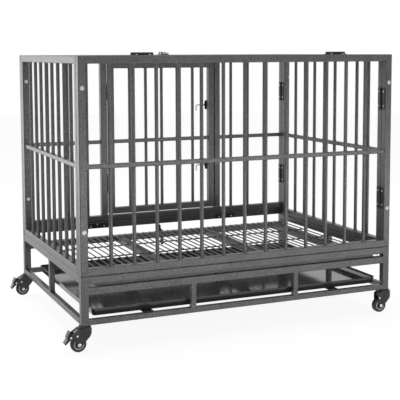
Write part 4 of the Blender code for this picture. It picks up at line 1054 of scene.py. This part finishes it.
def make_mount(node, post):
    """Stem, pressed swivel head and the bright ball race under it."""
    low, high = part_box(node)
    radius = (high.x - low.x) / 2
    top = BASE_BOTTOM - SEAT_GAP
    foot = FORK_TOP + RACE_GAP
    place = Matrix.Translation((post[0], post[1], 0.0))
    bm = bmesh.new()
    turned(bm, place, [
        (STEM_RADIUS - STEM_EDGE, high.z), (STEM_RADIUS, high.z - STEM_EDGE), (STEM_RADIUS, top),
        *[(radius * share, top - drop) for share, drop in HEAD_SHOULDER],
        *[(radius * share, foot + rise) for share, rise in HEAD_SKIRT],
        (KINGPIN_RADIUS, foot + HEAD_SKIRT[-1][1]), (KINGPIN_RADIUS, low.z)], CASTER_SIDES)
    piece(node + "_head", bm, "caster_black", "cage", [node])
    race = [(radius * share, foot + rise) for share, rise in RACE_SIDE]
    race += [(distance, FORK_TOP + RACE_SEAT) for distance, level in race[1::-1]]
    bm = bmesh.new()
    turned(bm, place, race, CASTER_SIDES)
    piece(node + "_race", bm, "zinc", "cage")


def fork_side(braked):
    """Return the fork's side outline, as part of a circle about the axle and an ear behind it."""
    points = rounded([(-HEAD_RADIUS, FORK_TOP), (HEAD_RADIUS, FORK_TOP),
                      (HEAD_RADIUS + FORK_NOSE, FORK_TOP - FORK_NOSE_DROP),
                      (FORK_WAIST, FORK_TOP - FORK_WAIST_DROP)], FORK_FRONT_BENDS, 5, False)
    points += arc(AXLE, FORK_EYE, -35, -215, 14)
    if braked:
        points.append((AXLE[0] + EAR_NECK[0], AXLE[1] + EAR_NECK[1]))
        points += arc(PEDAL_PIVOT, EAR_RADIUS, 250, 100, 12)
    else:
        back = AXLE[0] - FORK_BACK
        points += rounded([(back, AXLE[1]), (back, AXLE[1] + FORK_BACK_RISE),
                           (back, FORK_TOP - FORK_CROWN), (-HEAD_RADIUS, FORK_TOP)],
                          FORK_BACK_BENDS, 5, False)[1:-1]
    return points[::-1]


def working_slab(name, place, outline, low, high):
    """Return a working object of an extruded outline."""
    bm = bmesh.new()
    slab(bm, place, outline, low, high, PRESS_EDGE)
    return put(name, mesh_of(name, bm))


def joined(first, others, operation):
    """Return the first object after a Boolean with each of the others, which are removed."""
    for other in others:
        step = first.modifiers.new(operation.lower(), "BOOLEAN")
        step.operation, step.solver, step.object = operation, "EXACT", other
    graph = bpy.context.evaluated_depsgraph_get()
    mesh = bpy.data.meshes.new_from_object(first.evaluated_get(graph))
    for used in [first, *others]:
        bpy.data.objects.remove(used)
    return put("joined", mesh)


def channel_plan():
    """Return the corners of the fork's open plan, from its free end round the nose."""
    nose, tail = HEAD_RADIUS + FORK_NOSE, -3 * HEAD_RADIUS
    return [(tail, -FORK_HALF), (nose, -FORK_HALF), (nose, FORK_HALF), (tail, FORK_HALF)]


def hood_path(outline):
    """Return the line of the sheet that closes the back of the crown."""
    crest = Vector((-HEAD_RADIUS, FORK_TOP))
    end = crest.lerp(Vector(min(outline, key=lambda point: point[0])), HOOD_SHARE)
    sink = Vector((0.0, -HOOD_SHEET))
    return [crest + sink, end + sink]


def fork_mesh(braked):
    """Return a bmesh of the pressed fork: a bent channel cut to its side outline, with a crown."""
    flat, side = Matrix.Identity(4), side_frame((0.0, 0.0))
    half = FORK_WALL / 2
    middle = FORK_HALF - half
    plan = [(a - half if a > 0.0 else a, math.copysign(middle, b)) for a, b in channel_plan()]
    bent = strap(rounded(plan, FORK_BEND, 8, False), FORK_WALL)
    roof = rounded(channel_plan(), [0.0, FORK_BEND, FORK_BEND, 0.0], 8)
    outline = fork_side(braked)
    channel = working_slab("channel", flat, bent, 0.0, FORK_TOP - FORK_WALL / 3)
    top = working_slab("roof", flat, roof, FORK_TOP - FORK_ROOF, FORK_TOP)
    cheek = working_slab("cheek", side, outline, -2 * FORK_HALF, 2 * FORK_HALF)
    hood = working_slab("hood", side, strap(hood_path(outline), HOOD_SHEET), -middle, middle)
    fork = joined(joined(channel, [top, hood], "UNION"), [cheek], "INTERSECT")
    bm = bmesh.new()
    turned(bm, flat, CROWN_PROFILE, CASTER_SIDES)
    fork = joined(fork, [put("crown", mesh_of("crown", bm))], "UNION")
    rounding = fork.modifiers.new("rounding", "BEVEL")
    rounding.width, rounding.segments = FORK_EDGE, 2
    rounding.limit_method, rounding.angle_limit = "ANGLE", FORK_EDGE_ANGLE
    bm = bmesh.new()
    bm.from_object(fork, bpy.context.evaluated_depsgraph_get())
    bpy.data.objects.remove(fork)
    return bm


def make_fork(node, post, braked, body):
    """Pressed fork with its bright axle caps, spacer rivet and brake rivets."""
    bm = fork_mesh(braked)
    bm.transform(Matrix.Translation((post[0], post[1], 0.0)))
    piece(node + "_pressing", bm, "caster_black", body, [node], PRESSED_SHARP_ANGLE)
    cap = scaled(CAP_PROFILE, AXLE_CAP, RIVET_STAND)
    bm = bmesh.new()
    for way in (-1, 1):
        cheek = local_frame((post[0], post[1] + way * FORK_HALF, 0.0), (1, 0, 0), (0, way, 0))
        for x, z in (SPACER_SPOT, PEDAL_PIVOT) if braked else (SPACER_SPOT,):
            button(bm, moved(cheek, x, -way * z), RIVET_HEAD, RIVET_STAND)
        hub = moved(cheek, AXLE[0], -way * AXLE[1])
        turned(bm, hub, cap)
        turned(bm, hub, [(AXLE_RADIUS, -FORK_HALF), (AXLE_RADIUS, 0.0)])
    piece(node + "_rivets", bm, "zinc", body)


def make_wheel(node, body):
    """Wheel with a crowned tread, a dished web and a pale ring on each face."""
    low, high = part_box(node)
    centre = (low + high) / 2
    half = (high.y - low.y) / 2
    place = local_frame(centre, (1, 0, 0), (0, 1, 0))
    side = [(radius, half - depth) for radius, depth in TYRE_PROFILE]
    bm = bmesh.new()
    turned(bm, place, side + [(radius, -level) for radius, level in reversed(side)], TYRE_SIDES)
    piece(node + "_tyre", bm, "tread_black", body, [node])
    bm = bmesh.new()
    for way in (-1, 1):
        face = local_frame(centre + Vector((0, way * half, 0)), (1, 0, 0), (0, way, 0))
        skin(bm, [[face @ Vector((a, b, -depth)) for a, b in circle(radius, TYRE_SIDES)]
                  for radius, depth in RING_PROFILE], closed=True)
    piece(node + "_ring", bm, "pale_ring", body)


def pedal_side():
    """Return the pedal's side outline about its pivot, with grip ribs behind the upper tread."""
    points = arc((0.0, 0.0), PEDAL_HUB, -60, 40, 8)
    points += arc(PEDAL_UPPER, PEDAL_TIP, 10, 160, 6)
    heel = arc(PEDAL_HEEL, PEDAL_HUB, 160, 215, 4)
    start, end = Vector(points[-1]), Vector(heel[0])
    along = (end - start) / (PEDAL_RIBS * 2 + 1)
    out = Vector((along.y, -along.x)).normalized() * PEDAL_RIB_HEIGHT
    for index in range(PEDAL_RIBS):
        foot = start + along * (2 * index + 1)
        points += [tuple(foot), tuple(foot + out + along * 0.25), tuple(foot + out + along * 0.75),
                   tuple(foot + along)]
    points += heel
    points += arc(PEDAL_LOWER, PEDAL_TIP, 145, 325, 8)
    return points


def make_pedal(node, body):
    """Rocking brake pedal with a ribbed upper tread and a plain lower one."""
    low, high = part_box(node)
    half = (high.y - low.y) / 2
    pivot = PIVOTS[body + "_pivot"]
    place = side_frame(pivot, pivot[2])
    bm = bmesh.new()
    slab(bm, place, pedal_side(), -half, half, PEDAL_EDGE)
    piece(node + "_tread", bm, "caster_black", body, [node])


def make_casters():
    """Four swivel casters; the two on the left have brakes."""
    for name_y, y in (("front", -POST_Y), ("rear", POST_Y)):
        for name_x, x in (("left", -POST_X), ("right", POST_X)):
            corner = name_y + "_" + name_x
            braked = x < 0.0
            make_mount("caster_" + corner + "_mount", (x, y))
            make_fork("caster_" + corner + "_fork", (x, y), braked, corner + "_swivel")
            make_wheel("caster_" + corner + "_wheel", corner + "_wheel")
            if braked:
                make_pedal("caster_" + corner + "_pedal", corner + "_pedal")


def make_hardware():
    """Hinges, latches, keepers, corner hinges and bolts, plates and the catch."""
    screws = {body: bmesh.new() for body in ("cage", "door", "lid")}
    make_hinges(screws)
    for place in ("upper", "lower"):
        make_latch("door_latch_" + place, "x", "y", "door", screws)
        make_keeper("door_keeper_" + place, "x", "y")
    make_latch("lid_latch", "y", "z", "lid", screws)
    make_keeper("lid_keeper", "y", "z")
    for node in sorted(frame["nodes"]):
        if node.startswith("corner_hinge"):
            make_corner_hinge(node, screws["cage"])
        if node.startswith("corner_bolt"):
            make_corner_bolt(node)
    make_sill_plates(screws["cage"])
    make_catch()
    for body, bm in screws.items():
        piece(body + "_screws", bm, "zinc", body)


# Floor, surroundings, lamps and camera

def make_floor():
    """Pale floor that shows almost white and keeps a soft shadow."""
    paint = bpy.data.materials.new("pale_floor")
    made = Nodes(paint)
    colour = made.ramp(made.noise(30.0, 3.0), (0.3, (0.90, 0.90, 0.90)), (0.7, (0.94, 0.94, 0.94)))
    made.set(Base_Color=colour, Roughness=0.9)
    glow = made.add("Emission", {"Color": WHITE, "Strength": FLOOR_WHITE})
    share = made.add("Math", {0: made.background_rays(), 1: FLOOR_GLOW}, operation="MULTIPLY")
    made.show(share.outputs[0], made.shader, glow)
    mesh = bpy.data.meshes.new("floor")
    bm = bmesh.new()
    bmesh.ops.create_circle(bm, cap_ends=True, segments=64, radius=FLOOR_RADIUS)
    bm.to_mesh(mesh)
    bm.free()
    mesh.materials.append(paint)
    floor = put("floor", mesh)


def make_world():
    """White background, and soft light that is stronger from behind the cage than from the front."""
    world = bpy.data.worlds.new("studio")
    bpy.context.scene.world = world
    made = Nodes(world)
    way = made.add("SeparateXYZ", {0: made.place["Generated"]}).outputs["Y"]
    level = made.span(way, *SOFT_LIGHT, *SOFT_RANGE, "SMOOTHSTEP")
    soft = made.add("Background", {"Color": SOFT_GREY, "Strength": level})
    made.show(made.background_rays(), soft, made.add("Background", {"Color": WHITE}))


def add_lamp(name, place, target, size, power):
    """Add a rectangular area lamp that looks at a point."""
    data = bpy.data.lights.new(name, "AREA")
    data.shape = "RECTANGLE"
    data.size, data.size_y = size
    data.energy = power
    lamp = put(name, data)
    lamp.location = place
    aim = Vector(target) - Vector(place)
    lamp.rotation_euler = aim.to_track_quat("-Z", "Y").to_euler()


def make_camera():
    """Camera at the photograph's place and angle."""
    turn = Matrix.Rotation(-CAMERA_YAW, 4, "Z")
    turn @= Matrix.Rotation(math.pi / 2 - CAMERA_PITCH, 4, "X")
    turn @= Matrix.Rotation(CAMERA_ROLL, 4, "Z")
    data = bpy.data.cameras.new("camera")
    data.sensor_width = SENSOR_WIDTH
    data.lens = FOCAL_PIXELS / IMAGE_PIXELS * SENSOR_WIDTH
    data.shift_y = CAMERA_SHIFT
    camera = put("camera", data)
    camera.matrix_world = Matrix.Translation(CAMERA_PLACE) @ turn
    bpy.context.scene.camera = camera


dress_frame()
make_panels()
make_base()
make_grate()
make_tray()
make_hardware()
make_casters()
make_floor()
make_world()
for lamp in LAMPS:
    add_lamp(*lamp)
make_camera()
bpy.context.scene.view_settings.view_transform = "Standard"
